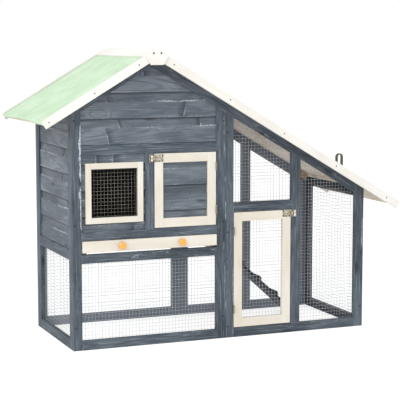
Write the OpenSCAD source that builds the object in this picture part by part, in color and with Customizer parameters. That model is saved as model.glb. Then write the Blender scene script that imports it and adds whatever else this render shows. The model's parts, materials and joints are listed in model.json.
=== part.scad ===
// Two-storey rabbit hutch: a boarded house with a pull-out tray, joined to a lower wire run,
// under one long uneven gable roof. Millimetres, +Z up, doors towards -Y,
// origin on the ground under the middle of the roof.

/* [Bays across the front] */
// Width of the left corner post of the house
corner_post_w = 33; // [24:1:45]
// Clear width of the window bay
window_bay_w = 238; // [190:1:300]
// Width of the post between window and door
mid_post_w = 33; // [24:1:45]
// Clear width of the upper door's opening
door_bay_w = 241; // [200:1:300]
// Width of the main posts
post_w = 38; // [30:1:45]
// Width of the run's post that stands against the house
run_post_w = 30; // [24:1:45]
// Clear width of the run door's opening
run_door_bay_w = 234; // [195:1:300]
// Clear width of the run's end bay
end_bay_w = 230; // [190:1:300]

/* [Heights] */
// Height of the bottom rails
bottom_rail_w = 35; // [26:1:45]
// Clear height of the wire panels below the house
lower_open_h = 275; // [225:1:335]
// Height of the rail under the tray
under_rail_w = 32; // [26:1:40]
// Height of the slot that the tray slides in
tray_slot_h = 49; // [40:1:60]
// Height of the rail above the tray
sill_rail_w = 31; // [26:1:40]
// Clear height of the upper door's opening
upper_open_h = 270; // [222:1:325]
// Height of the rail over window and door
header_w = 34; // [26:1:40]
// Clear height of the run door's opening
run_door_open_h = 431; // [355:1:440]
// Height of the rail over the run door
run_rail_w = 35; // [26:1:42]

/* [Depth] */
// Depth of the body, outside the frames
body_d = 470; // [390:1:570]
// Thickness of all the frame stock
frame_t = 16; // [13:0.5:20]
// Width of the upright at each end of a side frame
stile_w = 31; // [24:1:38]
// Height of the side frames' floor rail
side_rail_w = 37; // [30:1:44]

/* [Roof] */
// Height of the ridge
ridge_h = 1061; // [1030:1:1150]
// Distance of the ridge from the outside of the left wall
ridge_from_left = 297; // [240:1:330]
// Slope of both sides of the roof, degrees
roof_pitch = 30.5; // [27:0.5:33]
// How far the roof passes the left wall
eave_left = 118; // [95:1:142]
// How far the roof passes the right wall
eave_right = 129; // [105:1:155]
// How far the roof passes the front and the back
overhang = 52; // [42:1:65]
// Thickness of the roof boards
deck_t = 10; // [8:0.5:14]
// Thickness of the roofing felt
felt_t = 2; // [1:0.5:3]
// Width of the bargeboards
barge_w = 30; // [26:1:40]
// Thickness of the bargeboards
barge_t = 12; // [9:1:16]
// Width of each ridge board, down the slope
cap_w = 50; // [40:1:60]
// Thickness of the ridge boards
cap_t = 7; // [5:0.5:10]
// Width of the sloping rafters in the front and back frames
rafter_w = 34; // [28:1:42]
// Half the width of the six-sided ridge plate
plate_half_w = 41; // [34:1:48]
// Height of the ridge plate
plate_h = 56; // [48:1:64]
// Thickness of the ridge plate
plate_t = 8; // [6:1:10]
// Distance of the roof strap from the right end of the wall
strap_in = 123; // [100:1:160]
// Width of the roof strap
strap_w = 26; // [22:1:32]
// Height of the roof strap above the felt
strap_h = 50; // [40:1:60]
// Thickness of the roof strap's metal
strap_t = 4.5; // [3:0.5:5.5]
// Width of the roof strap from front to back
strap_deep = 14; // [10:1:18]

/* [Boards and wire] */
// Face height of one cladding board
board_h = 91; // [74:1:110]
// Thickness of the cladding boards
board_t = 10; // [8:0.5:12]
// How far the boards lie behind the frames' face
board_recess = 5; // [4:0.5:6]
// Gap between one board and the next
board_gap = 0.4; // [0.2:0.1:1]
// Height of the scooped band along the top of a board
scoop_h = 32; // [20:1:40]
// Depth of that scoop
scoop_d = 3.5; // [2:0.5:5]
// Face height of the lowest board of the side walls
side_first_board = 82; // [60:1:90]
// Face height of the lowest board beside the window
window_first_board = 53; // [40:1:73]
// Face height of the lowest board in the upper door
door_first_board = 27; // [15:1:60]
// Spacing of the drawn wires
wire_pitch = 25.4; // [20:0.1:30]
// Thickness of the wires
wire_t = 1.2; // [1:0.1:2]
// How far a wire panel passes the opening that it covers
wire_lap = 10; // [7:1:12]

/* [Window] */
// Outer size of the square window frame
window_size = 213; // [178:1:230]
// Width of the window frame's members
window_member_w = 20.5; // [16:0.5:26]
// Thickness of the window frame
window_t = 10; // [8:0.5:12]

/* [Doors] */
// Gap round each door
door_gap = 2; // [2:0.5:4]
// Width of the door frames' members
door_member_w = 33; // [27:1:40]
// Thickness of the door frames
door_t = 16; // [13:0.5:16]
// Radius of the hinge knuckles
knuckle_r = 3; // [2.5:0.5:4]
// Radius of the hinge pins
hinge_pin_r = 1.2; // [1:0.1:1.5]
// Height of one hinge
hinge_h = 30; // [24:1:36]
// Height of a latch's plates
latch_h = 27; // [22:1:33]
// Distance from a hasp's pivot to its turn knob
latch_reach = 12; // [11:0.5:14]

/* [Tray] */
// Gap under the tray's front board
tray_lift = 7.5; // [5:0.5:9]
// Thickness of the tray's front board
tray_front_t = 15; // [12:1:18]
// How far the front board stands out of the frame
tray_proud = 8; // [5:1:12]
// Width of the bearers that the tray slides on
bearer_w = 40; // [32:1:48]
// Height of the bearers
bearer_h = 14; // [10:1:16]
// Thickness of the tray's sheet metal
sheet_t = 1; // [0.8:0.1:2]
// Height of the tray's sides
tray_side_h = 38; // [28:1:45]
// Radius of the tray's knobs
knob_r = 13; // [10:1:15]

/* [Ramp] */
// Width of the ramp
ramp_w = 115; // [95:1:138]
// Thickness of the ramp board
ramp_t = 12; // [9:1:15]
// Slope of the ramp, degrees
ramp_angle = 42; // [38:1:46]
// Distance of the ramp's centre line from the front of the body
ramp_y = 342; // [300:1:360]
// Spacing of the cleats along the ramp
cleat_pitch = 98; // [80:1:115]
// Width of a cleat
cleat_w = 26; // [20:1:32]
// Height of a cleat
cleat_h = 10; // [7:1:13]
// Width of the pop hole
pop_w = 150; // [130:1:165]
// Height of the pop hole
pop_h = 190; // [160:1:225]
// Height of the pop hole's sill above the tray slot
pop_sill_up = 5; // [0:1:15]

/* [Hidden] */
$fn = 32;
house_w = corner_post_w + window_bay_w + mid_post_w + door_bay_w + post_w;
run_w = run_post_w + run_door_bay_w + post_w + end_bay_w + post_w;
body_w = house_w + run_w;
roof_span = eave_left + body_w + eave_right;
body_left = eave_left - roof_span / 2;
inner_front = frame_t;
inner_back = body_d - frame_t;
partition_x = house_w - frame_t;
end_x = body_w - frame_t;

// heights of the rails, from the ground up
under_rail_z = bottom_rail_w + lower_open_h;
slot_z = under_rail_z + under_rail_w;
sill_z = slot_z + tray_slot_h;
upper_open_z = sill_z + sill_rail_w;
header_z = upper_open_z + upper_open_h;
gable_z = header_z + header_w;
run_rail_z = bottom_rail_w + run_door_open_h;
side_rail_z = slot_z + 15 - side_rail_w;
side_boards_z = side_rail_z + side_rail_w;
pop_sill_z = sill_z + pop_sill_up;

// posts, by the distance of their left edge from the left wall
mid_post_x = corner_post_w + window_bay_w;
door_open_x = mid_post_x + mid_post_w;
house_post_x = house_w - post_w;
run_door_x = house_w + run_post_w;
run_mid_x = run_door_x + run_door_bay_w;
end_open_x = run_mid_x + post_w;
end_post_x = body_w - post_w;

// roof build-up, measured square to the slope from the bargeboards' top edge
felt_low = cap_t + felt_t;
deck_low = felt_low + deck_t;
tan_p = tan(roof_pitch);
cos_p = cos(roof_pitch);
gable_top = roof_z(ridge_from_left, deck_low + rafter_w);
left_run = (ridge_from_left + eave_left) / cos_p;
roof_y0 = -overhang + barge_t;
roof_y1 = body_d + overhang - barge_t;
right_run = (body_w - ridge_from_left + eave_right) / cos_p;

// latch and hinge places
hinge_out = knuckle_r + 0.2;
leaf_t = 1.2;
run_fit = 0.08;
upper_latch_z = header_z - 18;
run_latch_z = run_rail_z - 14;
upper_hinges = [upper_open_z + 58, header_z - 54];
run_hinges = [bottom_rail_w + 70, run_rail_z - 70];
upper_pin_x = house_post_x - door_gap / 2;
run_pin_x = run_door_x + door_gap / 2;
upper_latch_x = door_open_x + door_gap / 2;
run_latch_x = run_mid_x - door_gap / 2;
latch_plate_t = 1.2;
hasp_y = -2.9;
hasp_knuckle_r = 2.2;
tray_gap = 1.5;
tray_top_gap = 1.5;
tray_floor_z = slot_z + tray_lift - 0.4;
tray_front_z = slot_z + tray_lift;
tray_front_top = sill_z - tray_top_gap;
pan_top = min(tray_floor_z + tray_side_h, sill_z - 3);
tray_back_y = inner_back - 10;
spindle_r = 2;
wing_y = -7;

// ramp
ramp_pivot_x = house_w + knuckle_r + 1;
ramp_pivot_z = pop_sill_z - 2;
ramp_u_top = ramp_pivot_z / sin(ramp_angle);
ramp_u_foot = (ramp_pivot_z - ramp_t * cos(ramp_angle)) / sin(ramp_angle);
cleat_first = 56;
cleat_r = 18;
leaf_lift = 0.5;
ramp_start = max(6, ((leaf_lift + ramp_t) * sin(ramp_angle) - knuckle_r + leaf_t) / cos(ramp_angle));

slate = [0.37, 0.40, 0.45];
cream = [0.96, 0.93, 0.87];
white = [0.94, 0.92, 0.88];
zinc = [0.72, 0.70, 0.62];
wire_grey = [0.78, 0.80, 0.80];
felt_green = [0.80, 0.91, 0.79];
bare_wood = [0.78, 0.68, 0.54];
orange = [0.98, 0.68, 0.25];

// ---- shared helpers -----------------------------------------------------------------

// Moves a piece drawn from the body's left front bottom corner to its place.
module in_body() { translate([body_left, -body_d / 2, 0]) children(); }

// A box from one corner to the opposite one.
module block(a, b) { translate(a) cube(b - a); }

// Height of the line `low` millimetres under the bargeboards' top edge, square to the slope.
function roof_z(x, low = 0) = ridge_h - low / cos_p - tan_p * abs(x - ridge_from_left);

// Everything under that line between two upright planes, as an outline in X and Z.
module below_roof(x0, x1, low) {
    peak = [[ridge_from_left, roof_z(ridge_from_left, low)]];
    top = (x0 < ridge_from_left && x1 > ridge_from_left) ? peak : [];
    polygon(concat([[x1, 0], [x0, 0], [x0, roof_z(x0, low)]], top, [[x1, roof_z(x1, low)]]));
}

// Raises an X-Z outline into a slab between two distances from the front.
module slab(y0, y1) { translate([0, y1, 0]) rotate([90, 0, 0]) linear_extrude(y1 - y0) children(); }

// A rectangle from one corner to the opposite one.
module area(a, b) { translate(a) square(b - a); }

// A net of wires that fills the outline it is given, with its bounding rectangle stated.
module net(a, b) {
    linear_extrude(wire_t) intersection() {
        children();
        union() {
            difference() { area(a, b); offset_in(a, b); }
            for (x = [a[0] + wire_pitch : wire_pitch : b[0] - wire_t])
                area([x, a[1]], [x + wire_t, b[1]]);
            for (z = [a[1] + wire_pitch : wire_pitch : b[1] - wire_t])
                area([a[0], z], [b[0], z + wire_t]);
        }
    }
}
module offset_in(a, b) { area(a + [wire_t, wire_t], b - [wire_t, wire_t]); }

// A net standing in an X-Z plane whose near face is at y.
module front_net(y, a, b) {
    translate([0, y + wire_t, 0]) rotate([90, 0, 0]) net(a, b) children();
}
// A net standing in a Y-Z plane whose near face is at x.
module side_net(x, a, b) { translate([x, 0, 0]) rotate([90, 0, 90]) net(a, b) children(); }

// One cladding board's section: its face at 0, its back at board_t, a scooped band along its top.
module board_section() {
    top = board_h - board_gap;
    polygon([[0, 0], [board_t, 0], [board_t, top], [scoop_d, top],
             [scoop_d, board_h - scoop_h + 9], [0, board_h - scoop_h]]);
}

// Heights where the boards start, when only `first` of the lowest one shows above z0.
function board_starts(z0, z1, first) = [for (z = z0 - (board_h - first); z < z1 - 2; z = z + board_h) z];

// Boards along X, each a separate solid cut to an X-Z outline, face towards -Y at y.
module boards_along_x(x0, x1, y, z0, z1, first) {
    for (z = board_starts(z0, z1, first)) intersection() {
        translate([x0, y, z]) rotate([90, 0, 90]) linear_extrude(x1 - x0) board_section();
        slab(y - 1, y + board_t + 1) intersection() {
            area([x0, z0], [x1, z1]);
            children();
        }
    }
}

// Boards along Y, face towards -X at x, or towards +X when turned.
module boards_along_y(y0, y1, x, z0, z1, first, turned = false) {
    for (z = board_starts(z0, z1, first)) intersection() {
        translate([x, y1, z]) mirror([turned ? 1 : 0, 0, 0]) rotate([90, 0, 0])
            linear_extrude(y1 - y0) board_section();
        block([x - 20, y0, z0], [x + 20, y1, z1]);
    }
}

// One slab of roof: side -1 is the left slope, +1 the right one; low and high are square to it.
module slope(side, run, low, high, y0, y1, from = 0) {
    translate([ridge_from_left, y1, ridge_h]) intersection() {
        mirror([side < 0 ? 1 : 0, 0, 0]) rotate([90, roof_pitch, 0])
            translate([from - (from == 0 ? 60 : 0), -low, 0])
                cube([run - from + (from == 0 ? 60 : 0), low - high, y1 - y0]);
        translate([side < 0 ? -2000 : 0, -(y1 - y0) - 1, -1500]) cube([2000, y1 - y0 + 2, 2000]);
    }
}

// A round head with its flat side at y, looking towards -Y.
module head_front(x, y, z, r, h) {
    translate([x, y, z]) rotate([90, 0, 0]) cylinder(r1 = r, r2 = r * 0.7, h = h);
}

// ---- left wall -----------------------------------------------------------------------

module left_frame() {
    color(slate) in_body() intersection() {
        union() {
            block([0, inner_front, 0], [frame_t, inner_front + stile_w, ridge_h]);
            block([0, inner_back - stile_w, 0], [frame_t, inner_back, ridge_h]);
            top_z = roof_z(0, deck_low) - header_w;
            for (z = [[0, bottom_rail_w], [side_rail_z, side_boards_z], [top_z, ridge_h]])
                block([0, inner_front + stile_w, z[0]], [frame_t, inner_back - stile_w, z[1]]);
        }
        slab(0, body_d) below_roof(0, frame_t, deck_low);
    }
}

module left_boards() {
    color(slate) in_body()
        boards_along_y(inner_front + stile_w, inner_back - stile_w, board_recess,
                       side_boards_z, roof_z(0, deck_low) - header_w, side_first_board);
}

module left_mesh() {
    a = [inner_front + stile_w - wire_lap, bottom_rail_w - wire_lap];
    b = [inner_back - stile_w + wire_lap, side_rail_z + wire_lap];
    color(wire_grey) in_body() side_net(frame_t, a, b) area(a, b);
}

// ---- house front ---------------------------------------------------------------------

// The outline of one front or back frame between two posts, with a sloping rafter on top.
module gable_outline(x0, x1, low) {
    difference() {
        below_roof(x0, x1, low);
        children();
    }
}

module house_front_outline() {
    gable_outline(0, house_w, deck_low) {
        area([corner_post_w, bottom_rail_w], [house_post_x, under_rail_z]);
        area([corner_post_w, slot_z], [house_post_x, sill_z]);
        area([corner_post_w, upper_open_z], [mid_post_x, header_z]);
        area([door_open_x, upper_open_z], [house_post_x, header_z]);
        intersection() {
            below_roof(corner_post_w, house_post_x, deck_low + rafter_w);
            area([0, gable_z], [house_w, ridge_h]);
        }
    }
}

module house_front_frame() { color(slate) in_body() slab(0, frame_t) house_front_outline(); }

// Cut-out in the boards behind the window.
module window_hole(grow) {
    x = corner_post_w + (window_bay_w - window_size) / 2 + 3 + window_member_w;
    z = upper_open_z + (upper_open_h - window_size) / 2 + window_member_w;
    s = window_size - 2 * window_member_w;
    area([x - grow, z - grow], [x + s + grow, z + s + grow]);
}

module house_front_boards() {
    color(slate) in_body() {
        boards_along_x(corner_post_w, mid_post_x, board_recess, upper_open_z, header_z, window_first_board)
            difference() {
                area([corner_post_w, upper_open_z], [mid_post_x, header_z]);
                window_hole(0);
            }
        boards_along_x(corner_post_w, house_post_x, board_recess, gable_z, gable_top, board_h)
            below_roof(corner_post_w, house_post_x, deck_low + rafter_w);
    }
}

module window_frame() {
    color(cream) in_body() slab(board_recess - window_t, board_recess) difference() {
        window_hole(window_member_w);
        window_hole(0);
    }
}

module window_mesh() {
    x = corner_post_w + (window_bay_w - window_size) / 2 + 3 + window_member_w - wire_lap;
    z = upper_open_z + (upper_open_h - window_size) / 2 + window_member_w - wire_lap;
    s = window_size - 2 * window_member_w + 2 * wire_lap;
    color(wire_grey) in_body()
        front_net(board_recess + board_t, [x, z], [x + s, z + s]) area([x, z], [x + s, z + s]);
}

module lower_net(y) {
    a = [corner_post_w - wire_lap, bottom_rail_w - wire_lap];
    b = [house_post_x + wire_lap, under_rail_z + wire_lap];
    front_net(y, a, b) area(a, b);
}
module house_front_mesh() { color(wire_grey) in_body() lower_net(inner_front); }

// ---- house back ----------------------------------------------------------------------

module house_rear_outline() {
    gable_outline(0, house_w, deck_low) {
        area([corner_post_w, bottom_rail_w], [house_post_x, under_rail_z]);
        intersection() {
            below_roof(corner_post_w, house_post_x, deck_low + rafter_w);
            area([0, slot_z], [house_w, ridge_h]);
        }
    }
}
module house_rear_frame() { color(slate) in_body() slab(inner_back, body_d) house_rear_outline(); }

module house_rear_boards() {
    color(slate) in_body() translate([0, body_d, 0]) mirror([0, 1, 0])
        boards_along_x(corner_post_w, house_post_x, board_recess, slot_z, gable_top, board_h)
            below_roof(corner_post_w, house_post_x, deck_low + rafter_w);
}
module house_rear_mesh() { color(wire_grey) in_body() lower_net(inner_back - wire_t); }

// ---- run front and back --------------------------------------------------------------

module rafter_space(x0, x1, z0) {
    intersection() {
        below_roof(x0, x1, deck_low + rafter_w);
        area([x0, z0], [x1, ridge_h]);
    }
}

module run_front_frame() {
    color(slate) in_body() slab(0, frame_t) gable_outline(house_w, body_w, deck_low) {
        area([run_door_x, bottom_rail_w], [run_mid_x, run_rail_z]);
        rafter_space(run_door_x, run_mid_x, run_rail_z + run_rail_w);
        rafter_space(end_open_x, end_post_x, bottom_rail_w);
    }
}

module run_rear_frame() {
    color(slate) in_body() slab(inner_back, body_d) gable_outline(house_w, body_w, deck_low) {
        rafter_space(run_door_x, run_mid_x, bottom_rail_w);
        rafter_space(end_open_x, end_post_x, bottom_rail_w);
    }
}

// A net behind a bay whose top follows the rafter.
module bay_net(y, x0, x1, z0) {
    a = [x0 - wire_lap, z0 - wire_lap];
    b = [x1 + wire_lap, roof_z(x0 - wire_lap, deck_low + rafter_w - wire_lap)];
    front_net(y, a, b) intersection() {
        below_roof(a[0], b[0], deck_low + rafter_w - wire_lap);
        area(a, b);
    }
    edge = deck_low + rafter_w - wire_lap;
    slab(y, y + wire_t) difference() {
        below_roof(a[0], b[0], edge);
        below_roof(a[0] - 1, b[0] + 1, edge + wire_t);
    }
}

module run_front_meshes() {
    color(wire_grey) in_body() {
        bay_net(inner_front, run_door_x, run_mid_x, run_rail_z + run_rail_w);
        bay_net(inner_front, end_open_x, end_post_x, bottom_rail_w);
    }
}

module run_rear_meshes() {
    color(wire_grey) in_body() {
        bay_net(inner_back - wire_t, run_door_x, run_mid_x, bottom_rail_w);
        bay_net(inner_back - wire_t, end_open_x, end_post_x, bottom_rail_w);
    }
}

// ---- run end and partition -----------------------------------------------------------

module run_end_frame() {
    top = roof_z(body_w, deck_low) - run_rail_w;
    color(slate) in_body() intersection() {
        union() {
            block([end_x, inner_front, 0], [body_w, inner_front + stile_w, ridge_h]);
            block([end_x, inner_back - stile_w, 0], [body_w, inner_back, ridge_h]);
            for (z = [[0, bottom_rail_w], [top, ridge_h]])
                block([end_x, inner_front + stile_w, z[0]], [body_w, inner_back - stile_w, z[1]]);
        }
        slab(0, body_d) below_roof(end_x, body_w, deck_low);
    }
}

module run_end_mesh() {
    a = [inner_front + stile_w - wire_lap, bottom_rail_w - wire_lap];
    b = [inner_back - stile_w + wire_lap, roof_z(body_w, deck_low) - run_rail_w + wire_lap];
    color(wire_grey) in_body() side_net(end_x - wire_t, a, b) area(a, b);
}

module partition_frame() {
    top = roof_z(house_w, deck_low) - header_w;
    color(slate) in_body() intersection() {
        union() {
            block([partition_x, inner_front, side_rail_z], [house_w, inner_front + stile_w, ridge_h]);
            block([partition_x, inner_back - stile_w, side_rail_z], [house_w, inner_back, ridge_h]);
            for (z = [[side_rail_z, pop_sill_z], [top, ridge_h]])
                block([partition_x, inner_front + stile_w, z[0]], [house_w, inner_back - stile_w, z[1]]);
        }
        slab(0, body_d) below_roof(partition_x, house_w, deck_low);
    }
}

module partition_boards() {
    color(slate) in_body() difference() {
        boards_along_y(inner_front + stile_w, inner_back - stile_w, house_w - board_recess,
                       pop_sill_z, roof_z(house_w, deck_low) - header_w, side_first_board, turned = true);
        block([partition_x - 5, ramp_y - pop_w / 2, pop_sill_z - 1],
              [house_w + 5, ramp_y + pop_w / 2, pop_sill_z + pop_h]);
    }
}

// Runners under the tray, one along the left wall and one along the partition.
module tray_bearers() {
    top = tray_floor_z - 0.4;
    low = max(top - bearer_h, side_rail_z + wire_lap + 0.5);
    color(bare_wood) in_body() for (x = [frame_t, partition_x - bearer_w])
        block([x, inner_front, low], [x + bearer_w, inner_back, top]);
}

// ---- roof ----------------------------------------------------------------------------

module roof_left_boards() {
    color(bare_wood) in_body() slope(-1, left_run - felt_t, deck_low, felt_low, roof_y0, roof_y1);
}
module roof_right_boards() {
    color(bare_wood) in_body() slope(1, right_run - felt_t, deck_low, felt_low, roof_y0, roof_y1);
}

// Felt on one slope, folded down over the boards' lower edge.
module felt(side, run) {
    color(felt_green) in_body() {
        slope(side, run, felt_low, cap_t, roof_y0, roof_y1);
        slope(side, run, deck_low, felt_low - 0.01, roof_y0, roof_y1, from = run - felt_t);
    }
}
module roof_left_felt() { felt(-1, left_run); }
module roof_right_felt() { felt(1, right_run); }
module barge(side, run, y0) { slope(side, run, barge_w, 0, y0, y0 + barge_t); }
module front_left_barge() { color(white) in_body() barge(-1, left_run, -overhang); }
module front_right_barge() { color(white) in_body() barge(1, right_run, -overhang); }
module rear_left_barge() { color(white) in_body() barge(-1, left_run, roof_y1); }
module rear_right_barge() { color(white) in_body() barge(1, right_run, roof_y1); }
module ridge_cap_left() { color(white) in_body() slope(-1, cap_w, cap_t, 0, roof_y0, roof_y1); }
module ridge_cap_right() { color(white) in_body() slope(1, cap_w, cap_t, 0, roof_y0, roof_y1); }

// Six-sided plate over the meeting of two bargeboards.
module ridge_plate(y0) {
    slab(y0, y0 + plate_t) polygon([
        [ridge_from_left, ridge_h],
        [ridge_from_left + plate_half_w, roof_z(ridge_from_left + plate_half_w)],
        [ridge_from_left + plate_half_w - 17, ridge_h - plate_h],
        [ridge_from_left - plate_half_w + 17, ridge_h - plate_h],
        [ridge_from_left - plate_half_w, roof_z(ridge_from_left + plate_half_w)]
    ]);
}
module ridge_plate_front() { color(white) in_body() ridge_plate(-overhang - plate_t); }
module ridge_plate_rear() { color(white) in_body() ridge_plate(body_d + overhang); }

// A thin batten along the low end of the roof, inside the run, and a deeper block at each corner.
module roof_battens() {
    batten = 14;
    color(bare_wood) in_body() {
        under_roof(end_x - 60, end_x, deck_low, 8)
            block([end_x - batten, inner_front + 2, 0], [end_x - wire_t - 0.3, inner_back - 2, ridge_h]);
        under_roof(end_x - 60, end_x, deck_low, 24) for (y = [inner_front + 2, inner_back - 34])
            block([end_x - 48, y, 0], [end_x - batten, y + 32, ridge_h]);
    }
}
// What is left of a solid in a band `deep` under a line of the roof.
module under_roof(x0, x1, low, deep) {
    intersection() {
        children();
        slab(0, body_d) difference() {
            below_roof(x0, x1, low);
            below_roof(x0 - 1, x1 + 1, low + deep);
        }
    }
}

// Bent strap with a rounded top that stands on the right slope behind the front bargeboard.
module roof_strap() {
    x = body_w - strap_in;
    r = strap_w / 2;
    z_mid = roof_z(x, cap_t) + strap_h - r;
    color(zinc) in_body() slab(roof_y0 + 4, roof_y0 + 4 + strap_deep) difference() {
        union() {
            translate([x, z_mid]) circle(r);
            area([x - r, 0], [x + r, z_mid]);
        }
        translate([x, z_mid]) circle(r - strap_t);
        area([x - r + strap_t, 0], [x + r - strap_t, z_mid]);
        below_roof(x - 2 * r, x + 2 * r, cap_t);
    }
}

// ---- fixings -------------------------------------------------------------------------

module frame_screws() {
    rows = [roof_z(corner_post_w, deck_low) - 70, upper_open_z + 24, bottom_rail_w + 46];
    color([0.12, 0.12, 0.13]) in_body() {
        for (z = rows) head_front(9, 0, z, 2.6, 1);
        for (z = [gable_z + 74, upper_open_z + 12, bottom_rail_w + 48]) {
            head_front(house_w - 11, 0, z, 2.6, 1);
            head_front(house_w + 7, 0, z - 41, 2.6, 1);
        }
        for (z = [roof_z(body_w, deck_low) - 40, 285, bottom_rail_w + 42])
            head_front(body_w - 10, 0, z, 2.6, 1);
    }
}

// Nails run from near the ridge to near each end of the bargeboards, evenly spaced.
nail_inset = 24;
function spaced(a, b, n) = [for (i = [0 : n - 1]) a + (b - a) * i / (n - 1)];
nail_xs = concat(
    spaced(-eave_left + nail_inset, ridge_from_left - plate_half_w - nail_inset, 3),
    spaced(ridge_from_left + plate_half_w + nail_inset, body_w + eave_right - 2.5 * nail_inset, 5));
module barge_nails() {
    color([0.45, 0.42, 0.38]) in_body() for (x = nail_xs) {
        head_front(x, -overhang, roof_z(x, barge_w / 2), 2.2, 0.8);
        translate([0, body_d, 0]) mirror([0, 1, 0])
            head_front(x, -overhang, roof_z(x, barge_w / 2), 2.2, 0.8);
    }
}

module ridge_screws() {
    color([0.12, 0.12, 0.13]) in_body() for (s = [-1, 1]) {
        head_front(ridge_from_left + s * 14, -overhang - plate_t, ridge_h - 15, 3, 1.5);
        translate([0, body_d, 0]) mirror([0, 1, 0])
            head_front(ridge_from_left + s * 14, -overhang - plate_t, ridge_h - 15, 3, 1.5);
    }
}

// ---- doors ---------------------------------------------------------------------------

// Strips behind the frames that the doors' free edges close against.
module door_stops() {
    color(slate) in_body() {
        block([door_open_x - 8, inner_front, upper_open_z], [door_open_x + 6, inner_front + 8, header_z]);
        block([run_mid_x - 6, inner_front, bottom_rail_w], [run_mid_x + 8, inner_front + 8, run_rail_z + 8]);
    }
}

module door_outline(x0, x1, z0, z1) {
    difference() {
        area([x0 + door_gap, z0 + door_gap], [x1 - door_gap, z1 - door_gap]);
        door_inside(x0, x1, z0, z1, 0);
    }
}
module door_inside(x0, x1, z0, z1, grow) {
    e = door_gap + door_member_w - grow;
    area([x0 + e, z0 + e], [x1 - e, z1 - e]);
}

module upper_door_frame() {
    color(cream) in_body() slab(0, door_t - 0.3)
        door_outline(door_open_x, house_post_x, upper_open_z, header_z);
}

module upper_door_panel() {
    e = door_gap + door_member_w;
    color(slate) in_body()
        boards_along_x(door_open_x + e, house_post_x - e, 4.5, upper_open_z + e, header_z - e,
                       door_first_board)
            door_inside(door_open_x, house_post_x, upper_open_z, header_z, 0);
}

module run_door_frame() {
    color(cream) in_body() slab(0, door_t - 0.3)
        door_outline(run_door_x, run_mid_x, bottom_rail_w, run_rail_z);
}

module run_door_mesh() {
    e = door_gap + door_member_w;
    a = [run_door_x + e, bottom_rail_w + e];
    b = [run_mid_x - e, run_rail_z - e];
    color(wire_grey) in_body() front_net(door_t - 4, a, b) area(a, b);
}

// One hinge knuckle stretch, bored for the pin.
module knuckle(x, z0, z1, r, hole) {
    translate([x, -hinge_out, z0]) difference() {
        cylinder(r = r, h = z1 - z0);
        translate([0, 0, -1]) cylinder(r = hole, h = z1 - z0 + 2);
    }
}

// The half of a hinge that turns with the door: two outer knuckles and a leaf on the door's edge.
module door_leaf(x, side, z) {
    third = hinge_h / 3;
    for (z0 = [z - hinge_h / 2, z + third / 2])
        knuckle(x, z0, z0 + third - 0.2, knuckle_r, hinge_pin_r + run_fit);
    difference() {
        for (z0 = [z - hinge_h / 2, z + third / 2])
            block([min(x + side * 0.1, x + side * 0.9), -hinge_out, z0],
                  [max(x + side * 0.1, x + side * 0.9), door_t - 4, z0 + third - 0.2]);
        translate([x, -hinge_out, z - hinge_h]) cylinder(r = knuckle_r - 0.5, h = 2 * hinge_h);
    }
}

// The half that stays on the post: the middle knuckle and its leaf.
module post_leaf(x, side, z) {
    third = hinge_h / 3;
    knuckle(x, z - third / 2, z + third / 2 - 0.2, knuckle_r, hinge_pin_r + run_fit);
    difference() {
        block([min(x + side * 0.1, x + side * 0.9), -hinge_out, z - third / 2],
              [max(x + side * 0.1, x + side * 0.9), door_t - 4, z + third / 2 - 0.2]);
        translate([x, -hinge_out, z - hinge_h]) cylinder(r = knuckle_r - 0.5, h = 2 * hinge_h);
    }
}

module hinge_fixed_leaves() {
    color(zinc) in_body() {
        for (z = upper_hinges) post_leaf(upper_pin_x, 1, z);
        for (z = run_hinges) post_leaf(run_pin_x, -1, z);
    }
}
module upper_door_hinges() {
    color(zinc) in_body() for (z = upper_hinges) door_leaf(upper_pin_x, -1, z);
}
module run_door_hinges() {
    color(zinc) in_body() for (z = run_hinges) door_leaf(run_pin_x, 1, z);
}
module hinge_pins() {
    color(zinc) in_body() {
        for (z = upper_hinges)
            translate([upper_pin_x, -hinge_out, z - hinge_h / 2 - 1])
                cylinder(r = hinge_pin_r, h = hinge_h + 2);
        for (z = run_hinges)
            translate([run_pin_x, -hinge_out, z - hinge_h / 2 - 1])
                cylinder(r = hinge_pin_r, h = hinge_h + 2);
    }
}

// ---- latches: s is -1 where the door lies to the right of the post, +1 where to the left ----

// Places a latch drawn with its hasp pivot at x 0 and its knob at +x.
module at_latch(x, z, s) { in_body() translate([x, 0, z]) mirror([s < 0 ? 1 : 0, 0, 0]) children(); }

// Plate on the door with the hasp's pin and its outer knuckles.
module hasp_base() {
    h = latch_h - 1;
    difference() {
        union() {
            block([-34, -latch_plate_t, -h / 2], [-3.2, 0, h / 2]);
            for (z0 = [-h / 2, h / 2 - 5]) {
                translate([0, hasp_y, z0]) cylinder(r = hasp_knuckle_r, h = 5);
                block([-5, hasp_y + 0.9, z0], [0, hasp_y + 1.9, z0 + 5]);
            }
        }
        for (z0 = [-h / 2, h / 2 - 5])
            translate([0, hasp_y, z0 - 1]) cylinder(r = 1, h = 7);
    }
    translate([0, hasp_y, -h / 2]) cylinder(r = 1, h = h);
    for (x = [-29, -13], z0 = [-8, 8]) head_front(x, -latch_plate_t, z0, 2.4, 1);
}
module hasp() {
    h = latch_h - 13;
    difference() {
        union() {
            translate([0, hasp_y, -h / 2]) cylinder(r = hasp_knuckle_r, h = h);
            block([0, hasp_y - 0.6, -h / 2], [5, hasp_y + 0.6, h / 2]);
            block([4.6, hasp_y - 0.6, -latch_h / 2], [latch_reach + 8, hasp_y + 0.6, latch_h / 2]);
        }
        translate([0, hasp_y, -h]) cylinder(r = 1 + run_fit, h = 2 * h);
        block([latch_reach - 5.5, hasp_y - 2, -latch_h / 2 + 2.5],
              [latch_reach + 5.5, hasp_y + 2, latch_h / 2 - 2.5]);
    }
}
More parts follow.
